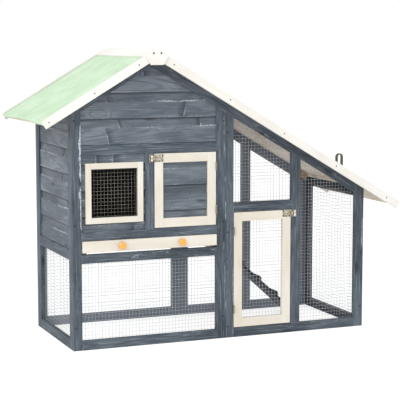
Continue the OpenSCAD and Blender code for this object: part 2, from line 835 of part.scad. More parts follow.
module latch_plate() {
    block([latch_reach - 7, -1, -latch_h / 2 + 3], [latch_reach + 7, 0, latch_h / 2 - 3]);
    translate([latch_reach, -1, 0]) rotate([90, 0, 0]) cylinder(r = spindle_r, h = 8.4);
}
module latch_knob() {
    long = latch_h / 2 - 3.7;
    difference() {
        translate([latch_reach, wing_y, 0]) rotate([90, 0, 0]) linear_extrude(2.2)
            polygon([[-3.8, long], [3.8, long], [1.7, 3.2], [3.3, 0], [1.7, -3.2], [3.8, -long],
                     [-3.8, -long], [-1.7, -3.2], [-3.3, 0], [-1.7, 3.2]]);
        translate([latch_reach, 0, 0]) rotate([90, 0, 0]) cylinder(r = spindle_r + run_fit, h = 20);
    }
}

module upper_hasp_base() { color(zinc) at_latch(upper_latch_x, upper_latch_z, -1) hasp_base(); }
module upper_hasp() { color(zinc) at_latch(upper_latch_x, upper_latch_z, -1) hasp(); }
module upper_latch_knob() { color(zinc) at_latch(upper_latch_x, upper_latch_z, -1) latch_knob(); }
module run_hasp_base() { color(zinc) at_latch(run_latch_x, run_latch_z, 1) hasp_base(); }
module run_hasp() { color(zinc) at_latch(run_latch_x, run_latch_z, 1) hasp(); }
module run_latch_knob() { color(zinc) at_latch(run_latch_x, run_latch_z, 1) latch_knob(); }
module latch_plates() {
    color(zinc) at_latch(upper_latch_x, upper_latch_z, -1) latch_plate();
    color(zinc) at_latch(run_latch_x, run_latch_z, 1) latch_plate();
}

// ---- tray ----------------------------------------------------------------------------

module tray_pan() {
    x0 = corner_post_w + 6;
    x1 = house_post_x - 6;
    y0 = tray_front_t - tray_proud;
    z0 = tray_floor_z;
    color([0.62, 0.64, 0.65]) in_body() difference() {
        block([x0, y0, z0], [x1, tray_back_y, pan_top]);
        block([x0 + sheet_t, y0 + sheet_t, z0 + sheet_t], [x1 - sheet_t, tray_back_y - sheet_t, z0 + 99]);
    }
}
module tray_front() {
    color(cream) in_body()
        block([corner_post_w + tray_gap, -tray_proud, tray_front_z],
              [house_post_x - tray_gap, tray_front_t - tray_proud, tray_front_top]);
}
module tray_knobs() {
    bay = house_post_x - corner_post_w;
    color(orange) in_body() for (x = [corner_post_w + bay * 0.285, corner_post_w + bay * 0.73])
        translate([x, -tray_proud, (tray_front_z + tray_front_top) / 2]) rotate([90, 0, 0]) rotate_extrude()
            polygon([[0, 0], [6, 0], [6, 5], [knob_r - 2, 7], [knob_r, 9.5], [knob_r, 13],
                     [knob_r - 3, 16], [0, 17.5]]);
}

// ---- ramp ----------------------------------------------------------------------------

// Turns an outline drawn along the ramp (first number down the slope, second square to it)
// to its place, between two distances from the front.
module on_ramp(y0, y1) {
    translate([ramp_pivot_x, y1, ramp_pivot_z]) rotate([90, ramp_angle, 0])
        linear_extrude(y1 - y0) children();
}
module ramp_board() {
    foot = leaf_lift * cos(ramp_angle) / sin(ramp_angle);
    color(slate) in_body() on_ramp(ramp_y - ramp_w / 2, ramp_y + ramp_w / 2)
        polygon([[ramp_start, -leaf_lift], [ramp_start, -leaf_lift - ramp_t],
                 [ramp_u_foot - foot, -leaf_lift - ramp_t], [ramp_u_top - foot, -leaf_lift]]);
}
module ramp_cleats() {
    color(slate) in_body() on_ramp(ramp_y - ramp_w / 2, ramp_y + ramp_w / 2)
        for (u = [cleat_first : cleat_pitch : ramp_u_foot - cleat_w]) translate([u - cleat_w / 2, -leaf_lift])
            intersection() {
                translate([cleat_w / 2, cleat_h - cleat_r]) circle(cleat_r, $fn = 64);
                square([cleat_w, cleat_h]);
            }
}
module ramp_knuckle(y0, y1) {
    translate([ramp_pivot_x, y1, ramp_pivot_z]) rotate([90, 0, 0]) difference() {
        cylinder(r = knuckle_r, h = y1 - y0);
        translate([0, 0, -1]) cylinder(r = hinge_pin_r + run_fit, h = y1 - y0 + 2);
    }
}
// Moving leaf of the ramp's hinge, on top of the board.
module ramp_hinge() {
    color(zinc) in_body() for (y = [ramp_y - 32, ramp_y + 12]) {
        ramp_knuckle(y, y + 20);
        on_ramp(y, y + 20) difference() {
            area([0, -leaf_lift], [34, leaf_lift]);
            circle(knuckle_r - 0.5);
        }
    }
}
// Fixed leaf under the pop hole, its knuckles and the pin.
module ramp_bracket() {
    color(zinc) in_body() {
        for (y = [ramp_y - 44, ramp_y + 32.4]) {
            ramp_knuckle(y, y + 11.6);
            block([house_w, y, ramp_pivot_z - 24], [house_w + leaf_t, y + 11.6, ramp_pivot_z]);
        }
        ramp_knuckle(ramp_y - 11.6, ramp_y + 11.6);
        block([house_w, ramp_y - 11.6, ramp_pivot_z - 24],
              [house_w + leaf_t, ramp_y + 11.6, ramp_pivot_z]);
        translate([ramp_pivot_x, ramp_y + 45, ramp_pivot_z]) rotate([90, 0, 0])
            cylinder(r = hinge_pin_r, h = 90);
    }
}

left_frame();
left_boards();
left_mesh();
house_front_frame();
house_front_boards();
house_front_mesh();
window_frame();
window_mesh();
house_rear_frame();
house_rear_boards();
house_rear_mesh();
run_front_frame();
run_front_meshes();
run_rear_frame();
run_rear_meshes();
run_end_frame();
run_end_mesh();
partition_frame();
partition_boards();
tray_bearers();
roof_left_boards();
roof_right_boards();
roof_left_felt();
roof_right_felt();
front_left_barge();
front_right_barge();
rear_left_barge();
rear_right_barge();
ridge_cap_left();
ridge_cap_right();
ridge_plate_front();
ridge_plate_rear();
roof_battens();
roof_strap();
frame_screws();
barge_nails();
ridge_screws();
door_stops();
hinge_fixed_leaves();
hinge_pins();
latch_plates();
ramp_bracket();
upper_door_frame();
upper_door_panel();
upper_door_hinges();
upper_hasp_base();
upper_hasp();
upper_latch_knob();
run_door_frame();
run_door_mesh();
run_door_hinges();
run_hasp_base();
run_hasp();
run_latch_knob();
tray_pan();
tray_front();
tray_knobs();
ramp_board();
ramp_cleats();
ramp_hinge();
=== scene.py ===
# %% [markdown]
# # A wooden rabbit hutch with a wire run
# The hutch is a boarded house on legs, a wire run beside it, and an uneven roof over both.
# The working model gives every piece's place and size, and how the doors, latches, tray and
# ramp move. Here each piece gets its real surface: sawn and stained timber, welded wire,
# roofing felt, plated fittings. Every piece stays where the working model has it.

import json
import math
import random

import bmesh
import bpy
from mathutils import Matrix, Vector, noise

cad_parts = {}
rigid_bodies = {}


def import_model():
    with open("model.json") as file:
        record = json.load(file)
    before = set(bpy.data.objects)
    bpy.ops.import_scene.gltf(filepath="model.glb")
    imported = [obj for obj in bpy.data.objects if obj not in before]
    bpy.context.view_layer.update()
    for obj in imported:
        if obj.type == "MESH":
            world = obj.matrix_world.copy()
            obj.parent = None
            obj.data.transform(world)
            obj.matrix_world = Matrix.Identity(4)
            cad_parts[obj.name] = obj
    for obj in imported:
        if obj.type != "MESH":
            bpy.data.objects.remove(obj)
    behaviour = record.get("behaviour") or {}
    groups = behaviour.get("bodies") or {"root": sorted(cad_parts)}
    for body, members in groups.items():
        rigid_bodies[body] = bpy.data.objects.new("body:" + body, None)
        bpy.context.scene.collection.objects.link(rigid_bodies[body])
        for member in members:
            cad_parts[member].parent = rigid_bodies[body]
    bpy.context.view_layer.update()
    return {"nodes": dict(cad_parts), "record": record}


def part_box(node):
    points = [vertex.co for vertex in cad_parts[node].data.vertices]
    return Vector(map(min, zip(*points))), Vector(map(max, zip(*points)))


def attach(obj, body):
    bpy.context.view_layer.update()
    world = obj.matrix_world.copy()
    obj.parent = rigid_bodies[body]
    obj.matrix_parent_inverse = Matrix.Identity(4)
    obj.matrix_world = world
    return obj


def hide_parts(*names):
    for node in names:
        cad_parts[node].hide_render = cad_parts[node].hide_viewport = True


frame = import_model()
BODY_OF = {
    node: body
    for body, nodes in frame["record"]["behaviour"]["bodies"].items()
    for node in nodes
}
MM = 0.001

# %% [markdown]
# ## Building materials from nodes
# A procedural material is a small network of nodes. Writing each network by hand is long,
# so a small class keeps it readable. It makes an empty material with its shader, adds a node
# with its inputs linked or set, and has short names for the nodes that come up most.

# %% Helpers for node networks
class Finish:
    """A material and its node tree, with short ways to add nodes."""

    def __init__(self, name, **shader_values):
        self.material = bpy.data.materials.new(name)
        self.material.use_nodes = True
        self.tree = self.material.node_tree
        self.tree.nodes.clear()
        self.shader = self.tree.nodes.new("ShaderNodeBsdfPrincipled")
        output = self.tree.nodes.new("ShaderNodeOutputMaterial")
        self.tree.links.new(self.shader.outputs[0], output.inputs[0])
        for socket, value in shader_values.items():
            self.shader.inputs[socket.replace("_", " ")].default_value = value

    def feed(self, socket, value):
        """Links value into a socket if it is an output of a node, or sets it."""
        if isinstance(value, bpy.types.NodeSocket):
            self.tree.links.new(value, socket)
        else:
            socket.default_value = value

    def add(self, kind, inputs=None, output=0, **settings):
        """Adds a node with these settings and inputs, and returns one of its outputs."""
        node = self.tree.nodes.new("ShaderNode" + kind)
        for setting, value in settings.items():
            setattr(node, setting, value)
        for socket, value in (inputs or {}).items():
            self.feed(node.inputs[socket], value)
        return node.outputs[output]

    def math(self, operation, a, b=0.5, clamp=False):
        return self.add("Math", {0: a, 1: b}, operation=operation, use_clamp=clamp)

    def stretch(self, vector, scale, shift=(0, 0, 0)):
        return self.add("Mapping", {"Vector": vector, "Scale": scale, "Location": shift})

    def noise(self, vector, scale, detail=3.0, rough=0.55):
        sockets = {"Vector": vector, "Scale": scale, "Detail": detail, "Roughness": rough}
        return self.add("TexNoise", sockets, output="Fac")

    def span(self, value, low, high, to_low=0.0, to_high=1.0):
        sockets = {0: value, 1: low, 2: high, 3: to_low, 4: to_high}
        return self.add("MapRange", sockets, interpolation_type="SMOOTHSTEP")

    def mix(self, amount, a, b, blend="MIX"):
        node = self.tree.nodes.new("ShaderNodeMix")
        node.data_type = "RGBA"
        node.blend_type = blend
        for socket, value in ((0, amount), (6, a), (7, b)):
            self.feed(node.inputs[socket], value)
        return node.outputs[2]

    def bump(self, height, strength, distance):
        sockets = {"Height": height, "Strength": strength, "Distance": distance}
        self.feed(self.shader.inputs["Normal"], self.add("Bump", sockets))

    def color(self, value):
        self.feed(self.shader.inputs["Base Color"], value)

    def rough(self, value):
        self.feed(self.shader.inputs["Roughness"], value)


def tint(red, green, blue):
    return (red, green, blue, 1.0)


print("helpers ready")

# %% [markdown]
# ## Timber
# Sawn softwood shows its growth rings as long lines that bend round the knots. Painting the
# lines from the object's own coordinates would send them the same way through every post and
# rail, so each timber carries its own set, in an attribute named grain: along the fibres,
# across them, and through the thickness, shifted at random so that no two timbers match.
# A low noise, read through a sine, gives the lines, and a Voronoi pattern bends them into
# knots. A second attribute holds painted shade in the boards' joints, scoops and gouges (below 0),
# and where the stain rubs thin on an edge, with painted highlights on the boards' scoop edges and gouge rims
# (above 0).

# %% Timber finishes
def timber_finish(name, dark, body, light, lines, knots, rub_and_highlight, smears, roughness, relief=0.35):
    """Stained or bare softwood. lines, knots, edges where the stain rubs thin (with the boards' painted
    highlights) and smears: how strongly each shows.
    """
    f = Finish(name)
    f.shader.inputs["Specular IOR Level"].default_value = 0.28
    grain = f.add("Attribute", output="Vector", attribute_name="grain")
    wear_and_shading = f.add("Attribute", output="Fac", attribute_name="wear_and_shading")

    near = f.stretch(grain, (5.5, 17.0, 17.0))
    knot_d = f.add("TexVoronoi", {"Vector": near, "Scale": 1.0, "Randomness": 0.9},
                   output="Distance")
    knot = f.span(knot_d, 0.20, 0.03)
    halo = f.span(knot_d, 0.42, 0.10)

    figure = f.noise(f.stretch(grain, (1.1, 13.0, 13.0)), 1.0, 1.5, 0.4)
    bent = f.math("ADD", figure, f.math("MULTIPLY", halo, 0.22))
    rings = f.math("SINE", f.math("MULTIPLY", bent, 95.0))
    ring = f.span(rings, 0.1, 1.0)
    fibre = f.noise(f.stretch(grain, (9.0, 420.0, 420.0)), 1.0, 3.0, 0.65)
    cloud = f.noise(f.stretch(grain, (3.0, 9.0, 9.0)), 1.0, 3.0, 0.6)

    base = f.mix(f.span(cloud, 0.3, 0.72), dark, body)
    base = f.mix(f.math("MULTIPLY", ring, lines), base, dark)
    base = f.mix(f.math("MULTIPLY", f.span(fibre, 0.5, 0.75), smears * 0.5), base, light)
    base = f.mix(f.math("MULTIPLY", f.math("MULTIPLY", knot, 0.9), knots), base,
                 tint(dark[0] * 0.55, dark[1] * 0.5, dark[2] * 0.5))
    # Pale rubbed patches: a fine streaky noise that only shows inside a coarse one.
    patch = f.span(f.noise(f.stretch(grain, (7.0, 26.0, 26.0), (3, 1, 7)), 1.0, 4.0, 0.7), 0.56, 0.74)
    speck = f.span(f.noise(f.stretch(grain, (34.0, 160.0, 160.0)), 1.0, 4.0, 0.7), 0.5, 0.66)
    base = f.mix(f.math("MULTIPLY", f.math("MULTIPLY", patch, speck), smears), base, light)
    # Edges: lighter where rubbed and where boards carry a painted highlight, broken up by the fibres; darker
    # with painted shade in the boards' joints, scoops and gouges.
    broken = f.span(f.noise(f.stretch(grain, (110.0, 160.0, 160.0)), 1.0, 3.0, 0.7), 0.34, 0.58)
    edge = f.math("MULTIPLY", f.math("MAXIMUM", wear_and_shading, 0.0), broken)
    base = f.mix(f.math("MULTIPLY", edge, min(1.0, rub_and_highlight * 1.1)), base, light)
    painted_shade = f.math("MULTIPLY", f.math("MINIMUM", wear_and_shading, 0.0), -0.85, clamp=True)
    base = f.mix(painted_shade, base, tint(dark[0] * 0.3, dark[1] * 0.3, dark[2] * 0.3))
    f.color(base)
    f.rough(f.span(fibre, 0.2, 0.8, roughness - 0.08, roughness + 0.1))
    height = f.math("ADD", f.math("MULTIPLY", fibre, 0.5), f.math("MULTIPLY", rings, -0.12))
    height = f.math("ADD", height, f.math("MULTIPLY", knot, -0.4))
    f.bump(height, relief, 0.0008)
    return f.material


slate_wood = timber_finish(
    "slate_wood", tint(0.028, 0.039, 0.052), tint(0.090, 0.112, 0.137), tint(0.42, 0.46, 0.50),
    lines=0.5, knots=0.95, rub_and_highlight=0.85, smears=0.8, roughness=0.62)
# A darker copy of the slate stain for the back frames, the inner walls and the ramp: painted shade where they
# stand inside the hutch.
painted_shade_wood = timber_finish(
    "painted_shade_wood", tint(0.006, 0.009, 0.014), tint(0.017, 0.024, 0.035), tint(0.10, 0.12, 0.145),
    lines=0.45, knots=0.9, rub_and_highlight=0.6, smears=0.4, roughness=0.66)
board_wood = timber_finish(
    "board_wood", tint(0.062, 0.078, 0.098), tint(0.164, 0.190, 0.220), tint(0.52, 0.56, 0.60),
    lines=0.5, knots=0.95, rub_and_highlight=1.0, smears=0.6, roughness=0.62)
cream_wood = timber_finish(
    "cream_wood", tint(0.61, 0.555, 0.46), tint(0.72, 0.69, 0.62), tint(0.78, 0.76, 0.71),
    lines=0.16, knots=0.14, rub_and_highlight=0.4, smears=0.4, roughness=0.55, relief=0.2)
white_wood = timber_finish(
    "white_wood", tint(0.68, 0.655, 0.60), tint(0.79, 0.775, 0.74), tint(0.84, 0.83, 0.80),
    lines=0.14, knots=0.10, rub_and_highlight=0.4, smears=0.4, roughness=0.55, relief=0.2)
bare_wood = timber_finish(
    "bare_wood", tint(0.55, 0.47, 0.38), tint(0.76, 0.69, 0.60), tint(0.84, 0.79, 0.72),
    lines=0.35, knots=0.6, rub_and_highlight=0.4, smears=0.4, roughness=0.75)
# Bare wood darkened and browned for the eave blocks: painted shade under the eave.
painted_shade_bare_wood = timber_finish(
    "painted_shade_bare_wood", tint(0.26, 0.16, 0.085), tint(0.48, 0.32, 0.18), tint(0.62, 0.46, 0.30),
    lines=0.5, knots=0.6, rub_and_highlight=0.3, smears=0.3, roughness=0.7)
print("timber finishes:", slate_wood.name, cream_wood.name, white_wood.name, bare_wood.name)

# %% [markdown]
# ## Metal, felt and varnish
# Galvanised wire is dull and slightly mottled. The fittings are zinc with a yellow passivate,
# which pools warmer in patches. The tray's sheet shows zinc spangles, large flat crystals
# that a Voronoi pattern's cells imitate. Roofing felt is a sheet pressed full of coloured
# mineral grit, so its colour and its relief both come from a very fine noise.

# %% Metal, felt and varnish finishes
def metal_finish(name, dull, bright, roughness, scale, metallic=0.8):
    """Plain metal whose brightness and roughness change in soft patches."""
    f = Finish(name, Metallic=metallic)
    place = f.add("TexCoord", output="Object")
    patches = f.noise(place, scale, 4.0, 0.6)
    f.color(f.mix(f.span(patches, 0.3, 0.7), dull, bright))
    f.rough(f.span(patches, 0.25, 0.75, roughness + 0.1, roughness - 0.08))
    f.bump(f.noise(place, scale * 6, 3.0), 0.15, 0.0003)
    return f.material


def spangled_finish(name):
    f = Finish(name, Metallic=0.85)
    place = f.add("TexCoord", output="Object")
    wobble = f.add("TexNoise", {"Vector": place, "Scale": 90.0}, output="Color")
    cells = f.mix(0.02, place, wobble, "ADD")
    crystal = f.add("TexVoronoi", {"Vector": cells, "Scale": 70.0}, output="Color")
    shade = f.add("SeparateColor", {"Color": crystal}, output=0)
    f.color(f.mix(shade, tint(0.42, 0.44, 0.46), tint(0.66, 0.68, 0.70)))
    f.rough(f.span(shade, 0.0, 1.0, 0.36, 0.52))
    return f.material


def felt_finish(name):
    f = Finish(name)
    f.shader.inputs["Specular IOR Level"].default_value = 0.15
    place = f.add("TexCoord", output="Object")
    grit = f.noise(place, 900.0, 2.0, 0.7)
    fleck = f.add("TexVoronoi", {"Vector": place, "Scale": 520.0}, output="Distance")
    drift = f.noise(place, 11.0, 6.0, 0.7)
    green = f.mix(f.span(drift, 0.3, 0.7), tint(0.45, 0.61, 0.42), tint(0.56, 0.70, 0.53))
    green = f.mix(f.span(grit, 0.52, 0.7, 0.0, 0.5), green, tint(0.70, 0.78, 0.67))
    green = f.mix(f.span(fleck, 0.12, 0.02, 0.0, 0.35), green, tint(0.26, 0.42, 0.27))
    f.color(green)
    f.rough(f.span(grit, 0.3, 0.7, 0.98, 0.85))
    f.bump(f.math("ADD", grit, f.math("MULTIPLY", fleck, 0.6)), 0.5, 0.0012)
    return f.material


def varnish_finish(name):
    f = Finish(name, Roughness=0.32)
    f.shader.inputs["Coat Weight"].default_value = 0.35
    place = f.add("TexCoord", output="Object")
    figure = f.noise(f.stretch(place, (70.0, 12.0, 70.0)), 1.0, 2.0)
    rings = f.math("SINE", f.math("MULTIPLY", figure, 60.0))
    f.color(f.mix(f.span(rings, -0.2, 1.0, 0.0, 0.5), tint(0.93, 0.42, 0.055), tint(0.62, 0.22, 0.03)))
    f.bump(rings, 0.08, 0.0004)
    return f.material


wire_zinc = metal_finish("wire_zinc", tint(0.38, 0.40, 0.42), tint(0.52, 0.54, 0.56), 0.5, 60.0, 0.1)
dull_wire = metal_finish("dull_wire", tint(0.25, 0.22, 0.18), tint(0.42, 0.38, 0.32), 0.5, 60.0, 0.3)
plated = metal_finish("plated_fitting", tint(0.15, 0.125, 0.07), tint(0.55, 0.51, 0.40), 0.36, 190.0, 0.65)
pale_plated = metal_finish("pale_plated", tint(0.66, 0.65, 0.60), tint(0.90, 0.89, 0.86), 0.32, 160.0, 0.5)
dull_hinge = metal_finish("dull_hinge", tint(0.16, 0.15, 0.12), tint(0.34, 0.32, 0.27), 0.42, 190.0, 0.7)
strap_metal = metal_finish("strap_metal", tint(0.060, 0.056, 0.050), tint(0.19, 0.175, 0.15), 0.42,
                           120.0, 0.6)
blackened = metal_finish("blackened_screw", tint(0.012, 0.012, 0.014), tint(0.045, 0.045, 0.05), 0.45,
                         300.0, 0.4)
# Near black for the screw heads' cross recess: painted shade in the recess.
recess_shade = metal_finish("screw_recess_shade", tint(0.002, 0.002, 0.002), tint(0.008, 0.008, 0.008), 0.7, 300.0, 0.2)
nail_steel = metal_finish("nail_steel", tint(0.10, 0.085, 0.07), tint(0.26, 0.24, 0.21), 0.45, 300.0)
tray_sheet = spangled_finish("tray_sheet")
green_felt = felt_finish("green_felt")
orange_varnish = varnish_finish("orange_varnish")
print("finishes made:", len(bpy.data.materials))

# %% [markdown]
# ## From a loose solid to a piece of timber
# A carpenter's piece is never a perfect box: its edges are eased, or they would splinter.
# So every timber is beveled slightly, and its grain and wear attributes are written after
# that. The bevel's middle points are where the stain rubs thin. Each piece ends as one mesh
# at the origin, in metres, so that it lies exactly where the working model has it.

# %% Helpers for timber pieces
def fresh_bmesh():
    bm = bmesh.new()
    bm.verts.layers.float_vector.new("grain")
    bm.verts.layers.float.new("wear_and_shading")
    return bm


def write_grain(bm, along, seed, wear_edges=True):
    """Writes each vertex's place along, across and through the fibres, and the rubbed edges."""
    grain = bm.verts.layers.float_vector["grain"]
    wear_and_shading = bm.verts.layers.float["wear_and_shading"]
    along = Vector(along).normalized()
    side = along.orthogonal().normalized()
    through = along.cross(side)
    draw = random.Random(seed)
    shift = Vector([draw.uniform(0, 40) for _ in range(3)])
    for v in bm.verts:
        v[grain] = Vector((v.co.dot(along), v.co.dot(side), v.co.dot(through))) + shift
        if wear_edges:
            widest = max((face.calc_area() for face in v.link_faces), default=0)
            v[wear_and_shading] = 0.9 if widest < 0.00012 and len(v.link_faces) > 3 else 0.0


def ease_edges(bm, width):
    """Rounds every sharp edge of a closed solid by this width."""
    bmesh.ops.dissolve_limit(bm, angle_limit=0.01, verts=bm.verts, edges=bm.edges)
    sharp = [e for e in bm.edges if len(e.link_faces) == 2 and e.calc_face_angle(0) > 0.3]
    bmesh.ops.bevel(bm, geom=sharp, offset=width, segments=2, profile=0.5, affect="EDGES",
                    clamp_overlap=True)


def merge_into(target, part):
    mesh = bpy.data.meshes.new("part")
    part.to_mesh(mesh)
    part.free()
    target.from_mesh(mesh)
    bpy.data.meshes.remove(mesh)


def timber(target, outline, place, low, high, along, seed, ease=1.2 * MM):
    """Adds a timber: an outline pushed from low to high, where place turns (a, b, depth) to x, y, z."""
    part = fresh_bmesh()
    near = [part.verts.new(place(a, b, low)) for a, b in outline]
    far = [part.verts.new(place(a, b, high)) for a, b in outline]
    part.faces.new(near)
    part.faces.new(far)
    for i in range(len(near)):
        j = (i + 1) % len(near)
        part.faces.new((near[i], near[j], far[j], far[i]))
    bmesh.ops.recalc_face_normals(part, faces=part.faces)
    ease_edges(part, ease)
    write_grain(part, along, seed)
    merge_into(target, part)


def piece_from(bm, name, material, smooth=False):
    """Turns a bmesh into a finished object at the origin."""
    mesh = bpy.data.meshes.new(name)
    bm.to_mesh(mesh)
    bm.free()
    mesh.materials.append(material)
    mesh.shade_smooth() if smooth else mesh.shade_flat()
    piece = bpy.data.objects.new(name, mesh)
    bpy.context.scene.collection.objects.link(piece)
    return piece


def stand_for(piece, slot, *nodes):
    """The piece moves with these nodes' body and is shown in their place."""
    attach(piece, BODY_OF[nodes[0]])
    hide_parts(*nodes)
    print(piece.name, len(piece.data.polygons), "faces for", *nodes)
    return piece


def islands(node):
    """The separate solids of a node, each as a bmesh with its doubles merged."""
    whole = bmesh.new()
    whole.from_mesh(frame["nodes"][node].data)
    bmesh.ops.remove_doubles(whole, verts=whole.verts, dist=1e-6)
    left = set(whole.verts)
    found = []
    while left:
        stack, group = [next(iter(left))], set()
        while stack:
            v = stack.pop()
            if v in group:
                continue
            group.add(v)
            stack += [e.other_vert(v) for e in v.link_edges]
        left -= group
        found.append(group)
    found.sort(key=lambda group: min((round(v.co.x, 4), round(v.co.z, 4), round(v.co.y, 4)) for v in group))
    solids = []
    for group in found:
        part = fresh_bmesh()
        index = {v: part.verts.new(v.co) for v in group}
        for face in {f for v in group for f in v.link_faces}:
            part.faces.new([index[v] for v in face.verts])
        bmesh.ops.recalc_face_normals(part, faces=part.faces)
        solids.append(part)
    whole.free()
    return solids


def carried_timber(node, along, material, slot, ease=1.2 * MM):
    """A node's own solids with eased edges and the grain running along a direction."""
    bm = fresh_bmesh()
    for count, part in enumerate(islands(node)):
        ease_edges(part, ease)
        write_grain(part, along, f"{node} {count}")
        merge_into(bm, part)
    return stand_for(piece_from(bm, node + "_timber", material), slot, node)


X, Y, Z = Vector((1, 0, 0)), Vector((0, 1, 0)), Vector((0, 0, 1))
print("timber helpers ready")

# %% [markdown]
# ## Where the timbers stand
# The frames are posts and rails of a few widths. Their places follow from the house front's
# left edge, the run's right edge and the heights of the openings, as on a cutting list. The
# two roof slopes are one line each: a height that falls by the pitch to either side.

# %% The cutting list
left_x, front_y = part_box("house_front_frame")[0][:2]
right_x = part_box("run_front_frame")[1][0]
back_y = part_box("house_rear_frame")[1][1]
ridge_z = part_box("ridge_plate_front")[1][2]
ridge_x = sum(corner[0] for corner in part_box("ridge_plate_front")) / 2
frame_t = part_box("house_front_frame")[1][1] - front_y

pitch = math.radians(30.5)
deck_low = 19 * MM           # underside of the roof boards, square to the slope
rafter_w = 34 * MM
corner_post_w, mid_post_w, run_post_w, post_w = 33 * MM, 33 * MM, 30 * MM, 38 * MM
stile_w = 31 * MM

mid_post_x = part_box("house_front_boards")[0][0] + 238 * MM
house_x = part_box("house_front_frame")[1][0]
posts = {
    "corner": (left_x, left_x + corner_post_w),
    "middle": (mid_post_x, mid_post_x + mid_post_w),
    "house": (house_x - post_w, house_x),
    "run": (house_x, house_x + run_post_w),
    "bay": (house_x + 264 * MM, house_x + 264 * MM + post_w),
    "end": (right_x - post_w, right_x),
}
heights = {"ground": 0, "bottom": 35, "under": 310, "slot": 342, "sill": 391, "upper": 422,
           "header": 692, "gable": 726, "run_rail": 466, "run_top": 501, "side": 320, "boards": 357}
heights = {name: value * MM for name, value in heights.items()}


def roof_z(x, low=0.0):
    """Height of the line this far under the roof's top edge, square to the slope."""
    return ridge_z - low / math.cos(pitch) - math.tan(pitch) * abs(x - ridge_x)


def facing(a, b, depth):
    return (a, depth, b)


print("posts at", {name: round(x[0], 3) for name, x in posts.items()})

# %% [markdown]
# ## The front and back frames
# Posts stand from the ground to the roof, rails lie between them, and a rafter follows each
# slope over the top. One closed box per timber keeps the butt joints visible, as the fine
# V that two eased edges make.

# %% Front and back frames
def upright(bm, x, low, y, seed, under_rafter=True):
    """A post whose top follows the roof's slope, or the rafter's lower edge."""
    reach = deck_low + (rafter_w if under_rafter else 0)
    x0, x1 = x
    tops = [(x1, roof_z(x1, reach)), (x0, roof_z(x0, reach))]
    timber(bm, [(x0, low), (x1, low)] + tops, facing, *y, Z, seed)


def rail(bm, x0, x1, low, high, y, seed):
    timber(bm, [(x0, low), (x1, low), (x1, high), (x0, high)], facing, *y, X, seed)


def rafter(bm, x0, x1, y, seed):
    """A rafter between two places on one slope, its ends cut upright."""
    corners = [(x0, deck_low + rafter_w), (x1, deck_low + rafter_w), (x1, deck_low), (x0, deck_low)]
    outline = [(x, roof_z(x, low)) for x, low in corners]
    along = Vector((x1 - x0, 0, roof_z(x1) - roof_z(x0)))
    timber(bm, outline, facing, *y, along, seed)


def slope_frames(name, y, front, *nodes):
    bm = fresh_bmesh()
    h = heights
    upright(bm, posts["corner"], 0, y, name + " corner", under_rafter=False)
    upright(bm, posts["house"], 0, y, name + " house")
    upright(bm, posts["run"], 0, y, name + " run")
    upright(bm, posts["bay"], h["bottom"] if front else 0, y, name + " bay")
    upright(bm, posts["end"], 0, y, name + " end", under_rafter=False)
    inside = posts["corner"][1], posts["house"][0]
    rail(bm, *inside, 0, h["bottom"], y, name + " bottom")
    rail(bm, *inside, h["under"], h["slot"], y, name + " under")
    rail(bm, posts["run"][1], posts["end"][0], 0, h["bottom"], y, name + " run bottom")
    if front:
        rail(bm, *inside, h["sill"], h["upper"], y, name + " sill")
        rail(bm, *inside, h["header"], h["gable"], y, name + " header")
        middle = [(posts["middle"][0], h["upper"]), (posts["middle"][1], h["upper"]),
                  (posts["middle"][1], h["header"]), (posts["middle"][0], h["header"])]
        timber(bm, middle, facing, *y, Z, name + " middle")
        rail(bm, posts["run"][1], posts["bay"][0], h["run_rail"], h["run_top"], y, name + " run rail")
    rafter(bm, posts["corner"][1], ridge_x, y, name + " left rafter")
    rafter(bm, ridge_x, posts["end"][0], y, name + " right rafter")
    # The back frames take the darker copy of the stain, as painted shade.
    return stand_for(piece_from(bm, name, slate_wood if front else painted_shade_wood), "slate_wood", *nodes)


slope_frames("front_timbers", (front_y, front_y + frame_t), True, "house_front_frame", "run_front_frame")


def torn_strip(name, edge_x, low, high, widest, seed, pale_wear_and_painted_light=0.9):
    """A rough strip of bare, paler wood where the saw tore the stain off along a post's edge."""
    draw = random.Random(seed)
    steps = max(6, round((high - low) / (6 * MM)))
    side = []
    for i in range(steps + 1):
        z = low + (high - low) * i / steps
        ends = min(1.0, 6 * i / steps, 6 * (1 - i / steps))
        wide = widest * ends * (0.25 + 0.75 * abs(noise.noise((z * 17, seed, 0)) * 1.8))
        side.append((edge_x - 0.8 * MM - wide - draw.uniform(0, 1) * MM, z))
    outline = [(edge_x - 0.2 * MM, low), (edge_x - 0.2 * MM, high)] + side[::-1]
    bm = fresh_bmesh()
    timber(bm, outline, facing, front_y - 0.35 * MM, front_y + 0.5 * MM, Z, name, ease=0.05 * MM)
    wear_and_shading = bm.verts.layers.float["wear_and_shading"]
    for v in bm.verts:
        v[wear_and_shading] = pale_wear_and_painted_light
    strip = piece_from(bm, name, board_wood)
    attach(strip, "hutch_body")


torn_strip("corner_post_tear_high", posts["corner"][1], 0.600, 0.800, 10 * MM, 3, 1.0)
torn_strip("corner_post_tear_low", posts["corner"][1], 0.430, 0.585, 7 * MM, 5, 0.8)
for count, low in enumerate((0.11, 0.20, 0.26, 0.33, 0.44, 0.58, 0.69, 0.75)):
    torn_strip(f"house_post_tear_{count}", posts["house"][1] - (count % 4) * 2.5 * MM, low,
               low + (0.03, 0.07, 0.02)[count % 3], 3 * MM, 20 + count, 0.4)
torn_strip("run_post_tear", posts["run"][1], 0.12, 0.26, 3 * MM, 31, 0.6)
torn_strip("end_post_tear", posts["end"][1] - 4 * MM, 0.30, 0.42, 3 * MM, 41, 0.6)

# %% [markdown]
# ## The end frames and the wall between house and run
# These three stand square to the front: two stiles with rails between them. They are the same
# shape at three sizes, so one function makes them all.

